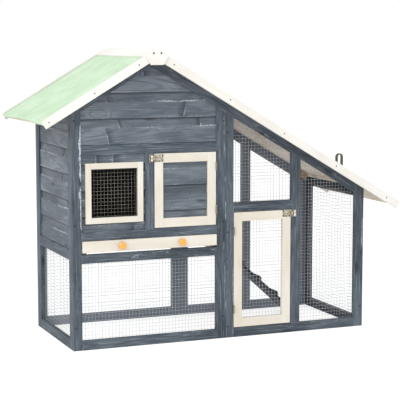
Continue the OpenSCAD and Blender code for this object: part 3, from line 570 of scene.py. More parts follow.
# %% End frames
def side_frame(name, node, rails, material=slate_wood):
    """Two stiles and the rails between them, in the box of the node it stands for."""
    low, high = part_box(node)
    x0, x1 = low[0], high[0]
    y0, y1 = low[1], high[1]
    bm = fresh_bmesh()
    for count, (a, b) in enumerate(((y0, y0 + stile_w), (y1 - stile_w, y1))):
        base = low[2]
        corners = [(x0, base), (x1, base), (x1, roof_z(x1, deck_low)), (x0, roof_z(x0, deck_low))]
        timber(bm, corners, facing, a, b, Z, f"{name} stile {count}")
    for count, (bottom, top) in enumerate(rails):
        tops = [(x1, top), (x0, top)]
        if top is None:
            tops = [(x1, roof_z(x1, deck_low)), (x0, roof_z(x0, deck_low))]
        corners = [(x0, bottom), (x1, bottom)] + tops
        timber(bm, corners, facing, y0 + stile_w, y1 - stile_w, Y, f"{name} rail {count}")
    return stand_for(piece_from(bm, name, material), "slate_wood", node)


header = 34 * MM
pop_sill = heights["sill"] + 5 * MM
side_frame("left_side_timbers", "left_frame",
           [(0, heights["bottom"]), (heights["side"], heights["boards"]),
            (roof_z(left_x, deck_low) - header, None)])
# The run's end and the dividing wall take the darker copy of the stain, as painted shade.
side_frame("run_end_timbers", "run_end_frame",
           [(0, heights["bottom"]), (roof_z(right_x, deck_low) - 35 * MM, None)], painted_shade_wood)
side_frame("dividing_timbers", "partition_frame",
           [(heights["side"], pop_sill), (roof_z(house_x, deck_low) - header, None)], painted_shade_wood)

# %% [markdown]
# ## Cladding boards
# Each board is scooped along its top, where the next one covers it, and the scoop's edge was
# cut by hand: it wanders, and here and there a chip runs up the face. A straight extrusion
# would lose that, so a board is a section carried along its length in short steps, with the
# scoop's edge and the chips worked out at each step. Boards that meet the roof are then cut
# along the slope, and the ones round an opening are cut with a Boolean.

# %% Cladding boards
board_h, board_t, board_gap = 91 * MM, 10 * MM, 0.4 * MM
scoop_h, scoop_d = 32 * MM, 3.5 * MM


def board_chips(draw, start, end, amount):
    """Gouges beside knots: place, slant, width, direction, and the strip they cross."""
    count = round(amount * (end - start) / 0.20 + draw.uniform(-0.7, 0.7))
    return [(draw.uniform(start + 0.02, end - 0.02), draw.uniform(-0.3, 0.3), draw.uniform(14, 38) * MM,
             draw.choice((-1, 1)), draw.choice(("face", "face", "scoop")), draw.uniform(0.25, 1.0))
            for _ in range(max(0, count))]


def gouge(u, height, edge, chips, phase):
    """How deep the board is torn at a place on its face, with painted shade in the hollow and a painted
    highlight along its steep rim.
    """
    depth = painted_light_and_shade = 0.0
    for where, slant, wide, way, strip, force in chips:
        low, high = (2 * MM, edge) if strip == "face" else (edge, board_h - 4 * MM)
        if not low <= height <= high:
            continue
        bend = 2.5 * MM * noise.noise((height * 70, where * 50, phase))
        t = way * (u - where - slant * (height - low) - bend) / wide
        ends = min(1.0, (height - low) / (6 * MM) + 0.4, (high - height) / (6 * MM) + 0.4)
        climb = (height - low) / (high - low)
        # The hollow's depth, with painted shade darkest at its deep side.
        if 0 <= t < 1:
            depth += 2.8 * MM * (1 - t) ** 1.6 * force * ends
            painted_light_and_shade -= 1.0 * (1 - t) ** 1.1 * force * ends
        # Painted highlight along the steep rim, fading up the strip.
        if -4 * MM < t * wide < 0.5 * MM:
            painted_light_and_shade += 1.1 * force * max(0.0, 1 - 1.3 * climb)
    return depth, painted_light_and_shade


def board(target, start, end, low, place, along, seed, amount=1.0, shine=1.0, step=2.5 * MM):
    """Adds one board. place turns (distance along, depth behind the face, height) to x, y, z.

    amount says how many gouges it has, and shine how bright the painted highlight on its scoop's edge is.
    """
    draw = random.Random(seed)
    part = fresh_bmesh()
    wear_and_shading = part.verts.layers.float["wear_and_shading"]
    chips = board_chips(draw, start, end, amount)
    phase = draw.uniform(0, 100)
    top = board_h - board_gap
    count = max(2, round((end - start) / step))
    rows = []
    for i in range(count + 1):
        u = start + (end - start) * i / count
        wander = 2.6 * noise.noise((u * 11, phase, 0)) + 1.3 * noise.noise((u * 60, phase, 5))
        edge = board_h - scoop_h + wander * MM
        lit = shine * max(0.0, min(1.0, 0.35 + 2.4 * noise.noise((u * 6, phase, 9))))
        face = [(0, edge * k, 0) for k in (0.12, 0.28, 0.42, 0.56, 0.70, 0.82, 0.91)]
        # The third number of each point is painted light: painted highlights on the bottom edge and the
        # scoop's edge, and painted shade deepening up the scoop into the joint under the next board.
        section = [(1.0 * MM, 0, -0.9), (0, 1.1 * MM, 0.3 * lit), *face,
                   (0, edge - 2 * MM, 0.1 * lit), (0.1 * MM, edge, lit),
                   (scoop_d * 0.55, edge + 3.5 * MM, -0.05), (scoop_d, edge + 9 * MM, -0.2),
                   (scoop_d, edge + 15 * MM, -0.2), (scoop_d, top - 7 * MM, -0.25), (scoop_d, top, -1.0),
                   (board_t, top, -1.0), (board_t, 0, -1.0)]
        row = []
        for depth, height, painted_light_and_shade in section:
            if depth < board_t and 2 * MM < height < top - 1 * MM:
                torn, pale_wear_and_painted_light = gouge(u, height, edge, chips, phase)
                depth += torn
                painted_light_and_shade += pale_wear_and_painted_light
            v = part.verts.new(place(u, depth, low + height))
            v[wear_and_shading] = max(-1.0, min(1.0, painted_light_and_shade))
            row.append(v)
        rows.append(row)
    size = len(rows[0])
    for near, far in zip(rows, rows[1:]):
        for k in range(size):
            m = (k + 1) % size
            part.faces.new((near[k], near[m], far[m], far[k]))
    part.faces.new(rows[0])
    part.faces.new(rows[-1])
    bmesh.ops.recalc_face_normals(part, faces=part.faces)
    write_grain(part, along, seed, wear_edges=False)
    merge_into(target, part)


def cut_away(bm, point, outward):
    """Cuts off everything beyond a plane and closes the cut."""
    whole = list(bm.verts) + list(bm.edges) + list(bm.faces)
    cut = bmesh.ops.bisect_plane(bm, geom=whole, dist=1e-6, plane_co=point, plane_no=outward,
                                 clear_outer=True)
    rim = [e for e in cut["geom_cut"] if isinstance(e, bmesh.types.BMEdge)]
    bmesh.ops.holes_fill(bm, edges=rim, sides=0)


def cut_hole(piece, low, high):
    """Cuts a box out of a piece for good."""
    cutter_bm = bmesh.new()
    bmesh.ops.create_cube(cutter_bm, size=1.0)
    middle = (Vector(low) + Vector(high)) / 2
    cutter_bm.transform(Matrix.Translation(middle) @ Matrix.Diagonal((*(Vector(high) - Vector(low)), 1)))
    cutter = piece_from(cutter_bm, piece.name + "_hole", board_wood)
    change = piece.modifiers.new("hole", "BOOLEAN")
    change.object, change.operation, change.solver = cutter, "DIFFERENCE", "EXACT"
    made_final(piece)
    bpy.data.objects.remove(cutter)


def made_final(piece):
    """Gives the piece the mesh that its modifiers make, and takes them off."""
    ready = piece.evaluated_get(bpy.context.evaluated_depsgraph_get())
    mesh = bpy.data.meshes.new_from_object(ready)
    piece.modifiers.clear()
    piece.data = mesh


def board_wall(name, ends, starts, place, along, planes=(), hole=None, **looks):
    """Boards between two ends, starting at these heights, cut to planes and a hole."""
    bm = fresh_bmesh()
    for count, low in enumerate(starts):
        board(bm, *ends, low, place, along, f"{name} {count}", **looks)
    for point, outward in planes:
        cut_away(bm, point, outward)
    piece = piece_from(bm, name, board_wood)
    if hole:
        cut_hole(piece, *hole)
    return piece


def board_lows(low, high, first=None):
    """Heights where boards start, when only the top of the lowest one shows."""
    z = low - (board_h - (first or board_h))
    found = []
    while z < high - 2 * MM:
        found.append(z)
        z += board_h
    return found


front_face = front_y + 5 * MM
back_face = back_y - 5 * MM
inside = posts["corner"][1], posts["house"][0]
slope_cut = deck_low + rafter_w
gable_planes = [
    ((ridge_x, 0, roof_z(ridge_x, slope_cut)), (-math.sin(pitch), 0, math.cos(pitch))),
    ((ridge_x, 0, roof_z(ridge_x, slope_cut)), (math.sin(pitch), 0, math.cos(pitch))),
]
gable_top = roof_z(ridge_x, slope_cut)


def facing_front(u, depth, z):
    return (u, front_face + depth, z)


def facing_back(u, depth, z):
    return (u, back_face - depth, z)


gable_lows = board_lows(heights["gable"], gable_top)
gable = board_wall("gable_boards", inside, gable_lows, facing_front, X, gable_planes)
stand_for(gable, "slate_wood", "house_front_boards")

# %% [markdown]
# The front's boards are two groups, the gable and the ones round the window, and both belong
# to one node. The second group is made the same way and moves with the same body as the first.

# %% Boards round the window
window_low, window_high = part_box("window_frame")
member = 20.5 * MM
bay = (posts["corner"][1], posts["middle"][0])
window_lows = board_lows(heights["upper"], heights["header"], 53 * MM)
trim = [((0, 0, heights["upper"]), -Z), ((0, 0, heights["header"]), Z)]
opening = ((window_low[0] + member, front_y - 0.05, window_low[2] + member),
           (window_high[0] - member, front_y + 0.05, window_high[2] - member))
window_boards = board_wall("window_bay_boards", bay, window_lows, facing_front, X, trim, opening,
                           amount=0.8)
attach(window_boards, BODY_OF["house_front_boards"])
print(window_boards.name, len(window_boards.data.polygons), "faces")

# %% [markdown]
# The other walls: the left end, the back, the panel in the upper door, and the wall between
# house and run with its pop hole.

# %% Boards of the other walls
left_low, left_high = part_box("left_boards")
left_lows = board_lows(heights["boards"], left_high[2], 82 * MM)
left_wall = board_wall("left_wall_boards", (left_low[1], left_high[1]), left_lows,
                       lambda u, depth, z: (left_low[0] + depth, u, z), Y,
                       [((0, 0, left_low[2]), -Z), ((0, 0, left_high[2]), Z)], amount=0.45, shine=0.7)
stand_for(left_wall, "slate_wood", "left_boards")

back_wall = board_wall("back_wall_boards", inside, board_lows(heights["slot"], gable_top),
                       facing_back, X, gable_planes, amount=0.7)
stand_for(back_wall, "slate_wood", "house_rear_boards")

panel_low, panel_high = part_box("upper_door_panel")
panel = board_wall("door_boards", (panel_low[0], panel_high[0]),
                   board_lows(panel_low[2], panel_high[2], 27 * MM),
                   lambda u, depth, z: (u, panel_low[1] + depth, z), X,
                   [((0, 0, panel_low[2]), -Z), ((0, 0, panel_high[2]), Z)], amount=0.0, shine=0.45)
stand_for(panel, "slate_wood", "upper_door_panel")

wall_low, wall_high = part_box("partition_boards")
hole = next(box["box_m"] for box in frame["record"]["physics"]["openings"] if box["name"] == "pop_hole")
dividing = board_wall("dividing_boards", (wall_low[1], wall_high[1]),
                      board_lows(wall_low[2], wall_high[2], 82 * MM),
                      lambda u, depth, z: (wall_high[0] - depth, u, z), Y,
                      [((0, 0, wall_low[2]), -Z), ((0, 0, wall_high[2]), Z)],
                      hole=((hole[0][0] - 0.02, hole[0][1] - 2 * MM, wall_low[2] - 0.01),
                            (hole[1][0] + 0.02, hole[1][1] + 2 * MM, hole[1][2] + 3 * MM)),
                      amount=0.6)
stand_for(dividing, "slate_wood", "partition_boards")

# %% [markdown]
# ## Cream frames
# The window and both doors are framed in a cream stain. Each frame is two stiles with two
# rails between them, so its four corners show a butt joint.

# %% Window and door frames
def ring_frame(name, node, member_w):
    """Two stiles and two rails that fill a node's box, with an opening inside."""
    low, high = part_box(node)
    bm = fresh_bmesh()
    depth = low[1], high[1]
    x0, z0, x1, z1 = low[0], low[2], high[0], high[2]
    for count, (a, b) in enumerate(((x0, x0 + member_w), (x1 - member_w, x1))):
        timber(bm, [(a, z0), (b, z0), (b, z1), (a, z1)], facing, *depth, Z, f"{name} stile {count}", 0.7 * MM)
    for count, (a, b) in enumerate(((z0, z0 + member_w), (z1 - member_w, z1))):
        outline = [(x0 + member_w, a), (x1 - member_w, a), (x1 - member_w, b), (x0 + member_w, b)]
        timber(bm, outline, facing, *depth, X, f"{name} rail {count}", 0.7 * MM)
    return stand_for(piece_from(bm, name, cream_wood), "cream_paint", node)


ring_frame("window_timbers", "window_frame", member)
ring_frame("upper_door_timbers", "upper_door_frame", 33 * MM)
ring_frame("run_door_timbers", "run_door_frame", 33 * MM)
carried_timber("tray_front", X, cream_wood, "cream_paint", ease=1.5 * MM)

# %% [markdown]
# ## Roof timbers
# The deck boards, the white bargeboards and the caps on the ridge are straight pieces, so
# they keep the working model's own shape, with eased edges and the grain along each one.

# %% Roof timbers
left_slope = Vector((-math.cos(pitch), 0, -math.sin(pitch)))
right_slope = Vector((math.cos(pitch), 0, -math.sin(pitch)))
for node in ("roof_left_boards", "roof_right_boards", "tray_bearers"):
    carried_timber(node, Y, bare_wood, "bare_wood")

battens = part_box("roof_battens")
batten_x = battens[1][0] - 12.5 * MM
front_end, back_end = battens[0][1], battens[1][1]


def under_deck(x0, x1, deep):
    """Outline of a strip this deep that lies against the underside of the roof boards."""
    corners = [(x0, deck_low + deep), (x1, deck_low + deep), (x1, deck_low), (x0, deck_low)]
    return [(x, roof_z(x, low)) for x, low in corners]


bm = fresh_bmesh()
timber(bm, under_deck(batten_x, battens[1][0], 8 * MM), facing, front_end, back_end, Y, "eave batten")
stand_for(piece_from(bm, "eave_batten", bare_wood), "bare_wood", "roof_battens")
bm = fresh_bmesh()
for y in (front_end, back_end - 32 * MM):
    timber(bm, under_deck(battens[0][0], batten_x, 24 * MM), facing, y, y + 32 * MM, X, f"eave block {y:.2f}")
# The eave blocks take the darkened bare wood, which paints the shade they sit in.
blocks = piece_from(bm, "eave_blocks", painted_shade_bare_wood)
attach(blocks, BODY_OF["roof_battens"])
for node in ("front_left_barge", "rear_left_barge"):
    carried_timber(node, left_slope, white_wood, "white_paint")
for node in ("front_right_barge", "rear_right_barge"):
    carried_timber(node, right_slope, white_wood, "white_paint")
for node in ("ridge_cap_left", "ridge_cap_right"):
    carried_timber(node, Y, white_wood, "white_paint")
for node in ("ridge_plate_front", "ridge_plate_rear"):
    carried_timber(node, X, white_wood, "white_paint", ease=1.5 * MM)
carried_timber("door_stops", Z, slate_wood, "slate_wood")

# %% [markdown]
# ## The ramp
# The ramp is one board with round-topped cleats across it, on a hinge at the pop hole. Its
# fibres run down the slope, and the cleats' run across.

# %% Ramp
ramp_slope = Vector((math.cos(math.radians(42)), 0, -math.sin(math.radians(42))))
# The ramp takes the darker copy of the stain, as painted shade.
carried_timber("ramp_board", ramp_slope, painted_shade_wood, "slate_wood", ease=1.5 * MM)
carried_timber("ramp_cleats", Y, painted_shade_wood, "slate_wood", ease=0.8 * MM)

# %% [markdown]
# ## Roofing felt
# Each slope is covered by one sheet of mineral felt, laid on the boards and nailed under the
# bargeboards. Along the eave it is only held at its ends, so it lifts in a shallow bow
# between them. The sheet is a grid of quads on the slope: the last stretch rises by a smooth
# curve, and a low noise keeps the rest from being perfectly flat.

# %% Felt sheets
felt_t = 2 * MM
cap_t = 7 * MM


def felt_sheet(name, node, side, bow, droop):
    """One slope's felt, folded down over the eave; bow is how far it lifts off the boards there."""
    low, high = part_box(node)
    y0, y1 = low[1] + 1 * MM, high[1] - 1 * MM
    reach = (high[0] - ridge_x if side > 0 else ridge_x - low[0]) / math.cos(pitch) + 2 * MM
    down = right_slope if side > 0 else left_slope
    out = Vector((side * math.sin(pitch), 0, math.cos(pitch)))
    apex = Vector((ridge_x, 0, ridge_z)) - out * (cap_t + felt_t)
    rows, columns, start = 90, 60, 6 * MM
    bm = bmesh.new()
    lines = []
    for i in range(rows + 1):
        u = start + (reach - start) * i / rows
        hem = max(0.0, 1 - (reach - u) / 0.10)
        line = []
        for j in range(columns + 1):
            t = j / columns
            y = y0 + (y1 - y0) * t
            lift = bow * math.sin(math.pi * min(1, t * 1.04)) ** 0.8 * hem ** 1.5
            lift -= droop * hem ** 2 * (1 - t) ** 4
            ripple = 0.35 * MM * (1 + noise.noise((u * 5, y * 7, side)))
            line.append(bm.verts.new(apex + down * u + out * (felt_t + lift + ripple) + Vector((0, y, 0))))
        lines.append(line)
    eave = [v.co.copy() for v in lines[-1]]
    for fall, forward in ((1.2, 1.2), (3.5, 1.8), (6.5, 1.9), (10, 1.6)):
        lines.append([bm.verts.new(co - out * fall * MM + down * forward * MM) for co in eave])
    for a, b in zip(lines, lines[1:]):
        for j in range(columns):
            bm.faces.new((a[j], a[j + 1], b[j + 1], b[j]))
    bmesh.ops.recalc_face_normals(bm, faces=bm.faces)
    if next(iter(bm.faces)).normal.z < 0:
        bmesh.ops.reverse_faces(bm, faces=bm.faces)
    piece = piece_from(bm, name, green_felt, smooth=True)
    wall = piece.modifiers.new("thickness", "SOLIDIFY")
    wall.thickness, wall.offset = felt_t - 0.3 * MM, -1
    made_final(piece)
    stand_for(piece, "felt", node)
    return piece


felt_sheet("left_felt", "roof_left_felt", -1, bow=7 * MM, droop=3 * MM)
felt_sheet("right_felt", "roof_right_felt", 1, bow=1.5 * MM, droop=0)

# %% [markdown]
# ## Welded wire
# Every opening is closed with half-inch welded wire: straight wires one way, the same the
# other way behind them, welded where they cross. That is a pattern with five numbers, which
# is what Geometry Nodes are for: a line of points for each direction, one thin rod on every
# point, a little scatter so that it doesn't look ruled, then Realize Instances and Set
# Material. The panels over sloping bays are cut along the rafter afterwards.

# %% A node tree for welded wire
wire_pitch, wire_d = 12.7 * MM, 0.85 * MM


class Growth:
    """A Geometry Nodes tree with named inputs, and short ways to add nodes."""

    def __init__(self, name, inputs):
        self.tree = bpy.data.node_groups.new(name, "GeometryNodeTree")
        self.ids = {}
        for label, kind in inputs.items():
            socket = self.tree.interface.new_socket(label, in_out="INPUT", socket_type=kind)
            self.ids[label] = socket.identifier
        self.tree.interface.new_socket("Geometry", in_out="OUTPUT", socket_type="NodeSocketGeometry")
        self.given = self.tree.nodes.new("NodeGroupInput").outputs
        self.result = self.tree.nodes.new("NodeGroupOutput").inputs[0]

    def add(self, kind, inputs=None, output=0, **settings):
        node = self.tree.nodes.new(kind)
        for setting, value in settings.items():
            setattr(node, setting, value)
        for socket, value in (inputs or {}).items():
            values = value if isinstance(value, list) else [value]
            for one in values:
                if isinstance(one, bpy.types.NodeSocket):
                    self.tree.links.new(one, node.inputs[socket])
                else:
                    node.inputs[socket].default_value = one
        return node.outputs[output]

    def math(self, operation, a, b):
        return self.add("ShaderNodeMath", {0: a, 1: b}, operation=operation)

    def vector(self, x=0.0, y=0.0, z=0.0):
        return self.add("ShaderNodeCombineXYZ", {0: x, 1: y, 2: z})

    def finish(self, shape, material):
        solid = self.add("GeometryNodeRealizeInstances", {0: shape})
        painted = self.add("GeometryNodeSetMaterial", {"Geometry": solid, "Material": material})
        self.tree.links.new(painted, self.result)

    def grow(self, name, values, base=None):
        """Runs the tree on an object and returns the plain mesh it makes."""
        host = bpy.data.objects.new(name, base or bpy.data.meshes.new(name))
        bpy.context.scene.collection.objects.link(host)
        modifier = host.modifiers.new("growth", "NODES")
        modifier.node_group = self.tree
        for label, value in values.items():
            modifier[self.ids[label]] = value
        ready = host.evaluated_get(bpy.context.evaluated_depsgraph_get())
        mesh = bpy.data.meshes.new_from_object(ready)
        bpy.data.objects.remove(host)
        return mesh


def welded_wire():
    g = Growth("welded_wire", {"Width": "NodeSocketFloat", "Height": "NodeSocketFloat",
                               "Pitch": "NodeSocketFloat", "Wire": "NodeSocketFloat",
                               "Scatter": "NodeSocketFloat", "Material": "NodeSocketMaterial"})
    width, height, pitch_in, wire, scatter, material = (g.given[i] for i in range(6))
    radius = g.math("MULTIPLY", wire, 0.5)
    shapes = []
    for span, length, way in ((width, height, 0), (height, width, 1)):
        count = g.math("FLOOR", g.math("DIVIDE", span, pitch_in), 0.0)
        count = g.math("ADD", count, 1.0)
        step = g.vector(x=pitch_in) if way == 0 else g.vector(z=pitch_in)
        half = g.math("MULTIPLY", length, 0.5)
        start = g.vector(z=half) if way == 0 else g.vector(x=half, y=wire)
        line = g.add("GeometryNodeMeshLine", {"Count": count, "Start Location": start, "Offset": step})
        jitter = g.add("FunctionNodeRandomValue", {"Min": (-1.0, -0.3, -1.0), "Max": (1.0, 0.3, 1.0),
                                                   "Seed": 7 + way}, data_type="FLOAT_VECTOR")
        moved = g.add("ShaderNodeVectorMath", {0: jitter, 3: scatter}, operation="SCALE")
        line = g.add("GeometryNodeSetPosition", {"Geometry": line, "Offset": moved})
        rod = g.add("GeometryNodeMeshCylinder", {"Vertices": 6, "Radius": radius, "Depth": length})
        turn = (0.0, 0.0, 0.0) if way == 0 else (0.0, math.pi / 2, 0.0)
        rods = {"Points": line, "Instance": rod, "Rotation": turn}
        shapes.append(g.add("GeometryNodeInstanceOnPoints", rods))
    both = g.add("GeometryNodeJoinGeometry", {0: shapes})
    g.finish(both, material)
    return g


wire_growth = welded_wire()
print("wire tree:", len(wire_growth.tree.nodes), "nodes")

# %% [markdown]
# Each panel is grown flat, then turned and moved to the plane its node lies in. The edge
# of a panel laps behind the timber by the same amount all round.

# %% Wire panels
def wire_panel(target, low, high, plane, inward, cut=None):
    """Adds a panel from low to high in an upright plane; inward is the way its back wires lie."""
    width, height = high[0] - low[0], high[1] - low[1]
    mesh = wire_growth.grow("wire", {"Width": width, "Height": height, "Pitch": wire_pitch, "Wire": wire_d,
                                     "Scatter": 0.1 * MM, "Material": wire_zinc})
    part = bmesh.new()
    part.from_mesh(mesh)
    if plane[0] == "y":
        place = Matrix.Translation((low[0], plane[1], low[1])) @ Matrix.Diagonal((1, inward, 1, 1))
    else:
        swap = Matrix(((0, 1, 0, 0), (1, 0, 0, 0), (0, 0, 1, 0), (0, 0, 0, 1)))
        place = Matrix.Translation((plane[1], low[0], low[1])) @ Matrix.Diagonal((inward, 1, 1, 1)) @ swap
    part.transform(place)
    if cut:
        cut_away(part, *cut)
    bmesh.ops.recalc_face_normals(part, faces=part.faces)
    merge_into(target, part)


def wire_piece(name, node, panels, material=wire_zinc):
    bm = bmesh.new()
    for panel in panels:
        wire_panel(bm, *panel)
    return stand_for(piece_from(bm, name, material, smooth=True), "wire", node)


def node_panel(node, axis, inward):
    """The panel that fills a flat node's box, its wires centred in the node's thickness."""
    low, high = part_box(node)
    across = 0 if axis == "y" else 1
    through = 1 - across
    at = low[through] + 0.3 * MM if inward > 0 else high[through] - 0.3 * MM
    return ((low[across], low[2]), (high[across], high[2]), (axis, at), inward)


for name, node, axis, inward in (
        ("house_front_wire", "house_front_mesh", "y", 1), ("house_back_wire", "house_rear_mesh", "y", -1),
        ("left_wire", "left_mesh", "x", 1), ("run_end_wire", "run_end_mesh", "x", -1),
        ("window_wire", "window_mesh", "y", 1), ("run_door_wire", "run_door_mesh", "y", 1)):
    material = dull_wire if name == "window_wire" else wire_zinc
    wire_piece(name, node, [node_panel(node, axis, inward)], material)

wire_lap = 10 * MM
rafter_reach = deck_low + rafter_w - wire_lap
rafter_cut = ((ridge_x, 0, roof_z(ridge_x, rafter_reach)), (math.sin(pitch), 0, math.cos(pitch)))


def bay_panel(x0, x1, low, node, inward):
    front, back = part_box(node)[0][1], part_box(node)[1][1]
    at = front + 0.3 * MM if inward > 0 else back - 0.3 * MM
    top = roof_z(x0 - wire_lap, rafter_reach)
    return ((x0 - wire_lap, low - wire_lap), (x1 + wire_lap, top), ("y", at), inward, rafter_cut)


door_bay = posts["run"][1], posts["bay"][0]
end_bay = posts["bay"][1], posts["end"][0]
wire_piece("run_front_wire", "run_front_meshes", [
    bay_panel(*door_bay, heights["run_top"], "run_front_meshes", 1),
    bay_panel(*end_bay, heights["bottom"], "run_front_meshes", 1)])
wire_piece("run_back_wire", "run_rear_meshes", [
    bay_panel(*door_bay, heights["bottom"], "run_rear_meshes", -1),
    bay_panel(*end_bay, heights["bottom"], "run_rear_meshes", -1)])

# %% [markdown]
# ## Screws and nails
# The same head repeats at every fixing, so a second tree sets one on each point it is given:
# a low cone, with the two bars of a cross recess let into it, coloured near black as painted
# shade. The points are the middles of the working model's own heads.

# %% Heads of screws and nails
def fixing_heads():
    g = Growth("fixing_heads", {"Points": "NodeSocketGeometry", "Radius": "NodeSocketFloat",
                                "Height": "NodeSocketFloat", "Recess": "NodeSocketFloat",
                                "Turn": "NodeSocketVector", "Metal": "NodeSocketMaterial",
                                "Dark": "NodeSocketMaterial"})
    points, radius, height, recess_in, turn, metal, dark = (g.given[i] for i in range(7))
    head = g.add("GeometryNodeMeshCone", {"Vertices": 20, "Radius Bottom": radius,
                                          "Radius Top": g.math("MULTIPLY", radius, 0.66), "Depth": height})
    head = g.add("GeometryNodeSetMaterial", {"Geometry": head, "Material": metal})
    long = g.math("MULTIPLY", recess_in, 2.0)
    thin = g.math("MULTIPLY", recess_in, 0.55)
    bars = []
    for x, y in ((long, thin), (thin, long)):
        bar = g.add("GeometryNodeMeshCube", {"Size": g.vector(x, y, g.math("MULTIPLY", height, 0.6))})
        lift = g.vector(z=g.math("MULTIPLY", height, 0.74))
        bars.append(g.add("GeometryNodeTransform", {"Geometry": bar, "Translation": lift}))
    cross = g.add("GeometryNodeSetMaterial", {"Geometry": g.add("GeometryNodeJoinGeometry", {0: bars}),
                                              "Material": dark})
    whole = g.add("GeometryNodeJoinGeometry", {0: [cross, head]})
    spin = g.add("FunctionNodeRandomValue", {2: 0.0, 3: 3.0, "Seed": 11}, output=1, data_type="FLOAT")
    twisted = g.add("FunctionNodeRotateEuler", {"Rotation": turn, "Rotate By": g.vector(z=spin)},
                    space="LOCAL")
    placed = g.add("GeometryNodeInstanceOnPoints", {"Points": points, "Instance": whole, "Rotation": twisted})
    solid = g.add("GeometryNodeRealizeInstances", {0: placed})
    g.tree.links.new(solid, g.result)
    return g


head_growth = fixing_heads()


def heads(name, node, radius, height, recess_r, metal, slot):
    """Heads on every solid of a node, front ones facing -Y and back ones facing +Y."""
    groups = {1: [], -1: []}
    for part in islands(node):
        middle = sum((v.co for v in part.verts), Vector()) / len(part.verts)
        ys = [v.co.y for v in part.verts]
        way = 1 if middle.y < 0 else -1
        groups[way].append((middle.x, max(ys) if way > 0 else min(ys), middle.z))
        part.free()
    bm = bmesh.new()
    for way, points in groups.items():
        if not points:
            continue
        base = bpy.data.meshes.new("points")
        base.from_pydata(points, [], [])
        mesh = head_growth.grow("heads", {
            "Radius": radius, "Height": height, "Recess": recess_r, "Metal": metal, "Dark": recess_shade,
            "Turn": (way * math.pi / 2, 0.0, 0.0)}, base)
        bm.from_mesh(mesh)
    piece = piece_from(bm, name, metal)
    piece.data.materials.append(recess_shade)
    return stand_for(piece, slot, node)


heads("frame_screw_heads", "frame_screws", 2.8 * MM, 1.0 * MM, 1.1 * MM, blackened, "black_screw")
heads("ridge_screw_heads", "ridge_screws", 3.2 * MM, 1.5 * MM, 1.3 * MM, blackened, "black_screw")
heads("barge_nail_heads", "barge_nails", 2.4 * MM, 0.8 * MM, 0.3 * MM, nail_steel, "nail")

# %% [markdown]
# ## Fittings
# The hinges, latches, tray and strap are already the right shape in the working model. The
# plated ones get eased edges, and all of them take better materials: plated steel in three
# tones, a darker strap, spangled sheet, varnish.

# %% Finishes for the fittings
def plated_part(node, material, ease=0.25 * MM):
    """A node's own solids with their edges eased, as stamped and tumbled metal has them."""
    bm = fresh_bmesh()
    for part in islands(node):
        ease_edges(part, ease)
        merge_into(bm, part)
    piece = piece_from(bm, node + "_metal", material, smooth=True)
    piece.data.set_sharp_from_angle(angle=0.6)
    return stand_for(piece, "zinc", node)


for node in ("hinge_fixed_leaves", "hinge_pins", "upper_door_hinges", "run_door_hinges", "ramp_bracket",
             "ramp_hinge"):
    plated_part(node, dull_hinge)
for node in ("upper_latch_knob", "run_latch_knob"):
    plated_part(node, pale_plated, 0.5 * MM)
for node in ("latch_plates", "upper_hasp_base", "upper_hasp", "run_hasp_base", "run_hasp"):
    plated_part(node, plated)
for node, material in (("roof_strap", strap_metal), ("tray_pan", tray_sheet), ("tray_knobs", orange_varnish)):
    mesh = frame["nodes"][node].data
    mesh.materials.clear()
    mesh.materials.append(material)
print("fittings done")

# %% [markdown]
# The hasps' plates are stamped with two pairs of scrolls, and black screws hold them. A scroll
# is a thin tube bent along a spiral and half sunk in the plate.

# %% Scrolls and screws on the hasps' plates
def scroll(bm, middle, size, way):
    """A spiral ridge on an upright plate. way turns it left or right, or upside down."""
    steps, ring, thick = 26, 6, 0.7 * MM
    rows = []
    for i in range(steps + 1):
        t = i / steps
        turn = 0.4 + 4.6 * t
        radius = size * (1 - 0.72 * t)
        x, z = math.cos(turn) * radius * way[0], math.sin(turn) * radius * 0.8 * way[1]
        outward = Vector((x, 0, z)).normalized()
        slim = thick * (0.35 + 0.65 * math.sin(math.pi * min(1.0, 0.08 + t)))
        row = []
        for k in range(ring):
            a = 2 * math.pi * k / ring
            bend = outward * math.cos(a) * slim + Vector((0, math.sin(a) * slim, 0))
            row.append(bm.verts.new(Vector(middle) + Vector((x, 0, z)) + bend))
        rows.append(row)
    for near, far in zip(rows, rows[1:]):
        for k in range(ring):
            bm.faces.new((near[k], near[(k + 1) % ring], far[(k + 1) % ring], far[k]))
    bm.faces.new(rows[0])
    bm.faces.new(rows[-1])


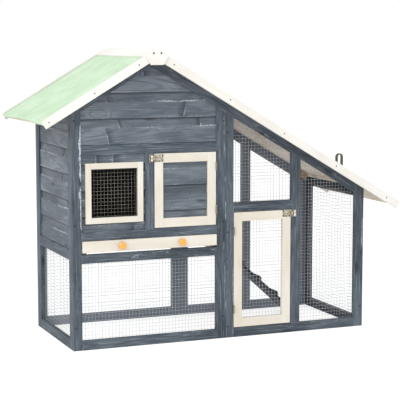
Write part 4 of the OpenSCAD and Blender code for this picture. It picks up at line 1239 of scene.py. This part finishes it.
for node in ("upper_hasp_base", "run_hasp_base"):
    low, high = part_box(node)
    side = 1 if node.startswith("upper") else -1
    inner = low[0] + 5.4 * MM if side > 0 else high[0] - 5.4 * MM
    plate_y, plate_z = front_y - 1.2 * MM, (low[2] + high[2]) / 2
    bm = bmesh.new()
    for across, up in ((11.5, 1), (11.5, -1), (23, 1), (23, -1)):
        way = (side if across > 12 else -side, up)
        scroll(bm, (inner + side * across * MM, plate_y, plate_z + up * 5.5 * MM), 5.2 * MM, way)
    bmesh.ops.recalc_face_normals(bm, faces=bm.faces)
    ridges = piece_from(bm, node + "_scrolls", pale_plated, smooth=True)
    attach(ridges, BODY_OF[node])

    base = bpy.data.meshes.new("points")
    places = ((3, -10.5), (17, -10.5), (28, -9), (28, 9))
    points = [(inner + side * x * MM, plate_y - 0.9 * MM, plate_z + z * MM) for x, z in places]
    base.from_pydata(points, [], [])
    mesh = head_growth.grow("heads", {
        "Radius": 2.3 * MM, "Height": 0.9 * MM, "Recess": 1.0 * MM, "Metal": blackened, "Dark": recess_shade,
        "Turn": (math.pi / 2, 0.0, 0.0)}, base)
    bm = bmesh.new()
    bm.from_mesh(mesh)
    screws = piece_from(bm, node + "_screws", blackened)
    screws.data.materials.append(recess_shade)
    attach(screws, BODY_OF[node])
print("scrolls and screws added")

# %% [markdown]
# ## Studio
# A floor that glows white, an even surround, a large soft lamp high on the left and a weak one on
# the right. The camera stands well back with a long lens, a little above the roof's ridge.

# %% Floor, light and camera
floor_bm = bmesh.new()
bmesh.ops.create_grid(floor_bm, x_segments=1, y_segments=1, size=30)
floor_finish = Finish("studio_floor", Roughness=0.9, Emission_Strength=0.8)
drift = floor_finish.noise(floor_finish.add("TexCoord", output="Object"), 0.6)
floor_finish.color(floor_finish.mix(drift, tint(0.33, 0.33, 0.33), tint(0.37, 0.37, 0.37)))
floor_finish.feed(floor_finish.shader.inputs["Emission Color"], tint(1.0, 1.0, 1.0))
floor = piece_from(floor_bm, "floor", floor_finish.material)

world = bpy.data.worlds.new("studio")
bpy.context.scene.world = world
world.use_nodes = True
sky = world.node_tree.nodes["Background"]
sky.inputs["Color"].default_value = (1.0, 1.0, 1.0, 1.0)
sky.inputs["Strength"].default_value = 1.0


def soft_lamp(name, place, size, power):
    lamp = bpy.data.lights.new(name, "AREA")
    lamp.shape, lamp.size, lamp.energy = "SQUARE", size, power
    holder = bpy.data.objects.new(name, lamp)
    holder.location = place
    holder.rotation_euler = (Vector((0, 0, 0.5)) - Vector(place)).to_track_quat("-Z", "Y").to_euler()
    bpy.context.scene.collection.objects.link(holder)


soft_lamp("key", (-3.8, -2.4, 3.6), 3.0, 110)
soft_lamp("fill", (2.0, -4.4, 2.4), 3.0, 20)

camera_data = bpy.data.cameras.new("camera")
camera_data.lens, camera_data.sensor_width = 121.3, 36.0
camera = bpy.data.objects.new("camera", camera_data)
camera.location = (-1.929, -4.713, 1.097)
camera.rotation_euler = (math.radians(90 - 6.84), 0, math.radians(-22.20))
bpy.context.scene.collection.objects.link(camera)
bpy.context.scene.camera = camera
bpy.context.scene.view_settings.view_transform = "Standard"
print("camera", [round(v, 3) for v in camera.location])
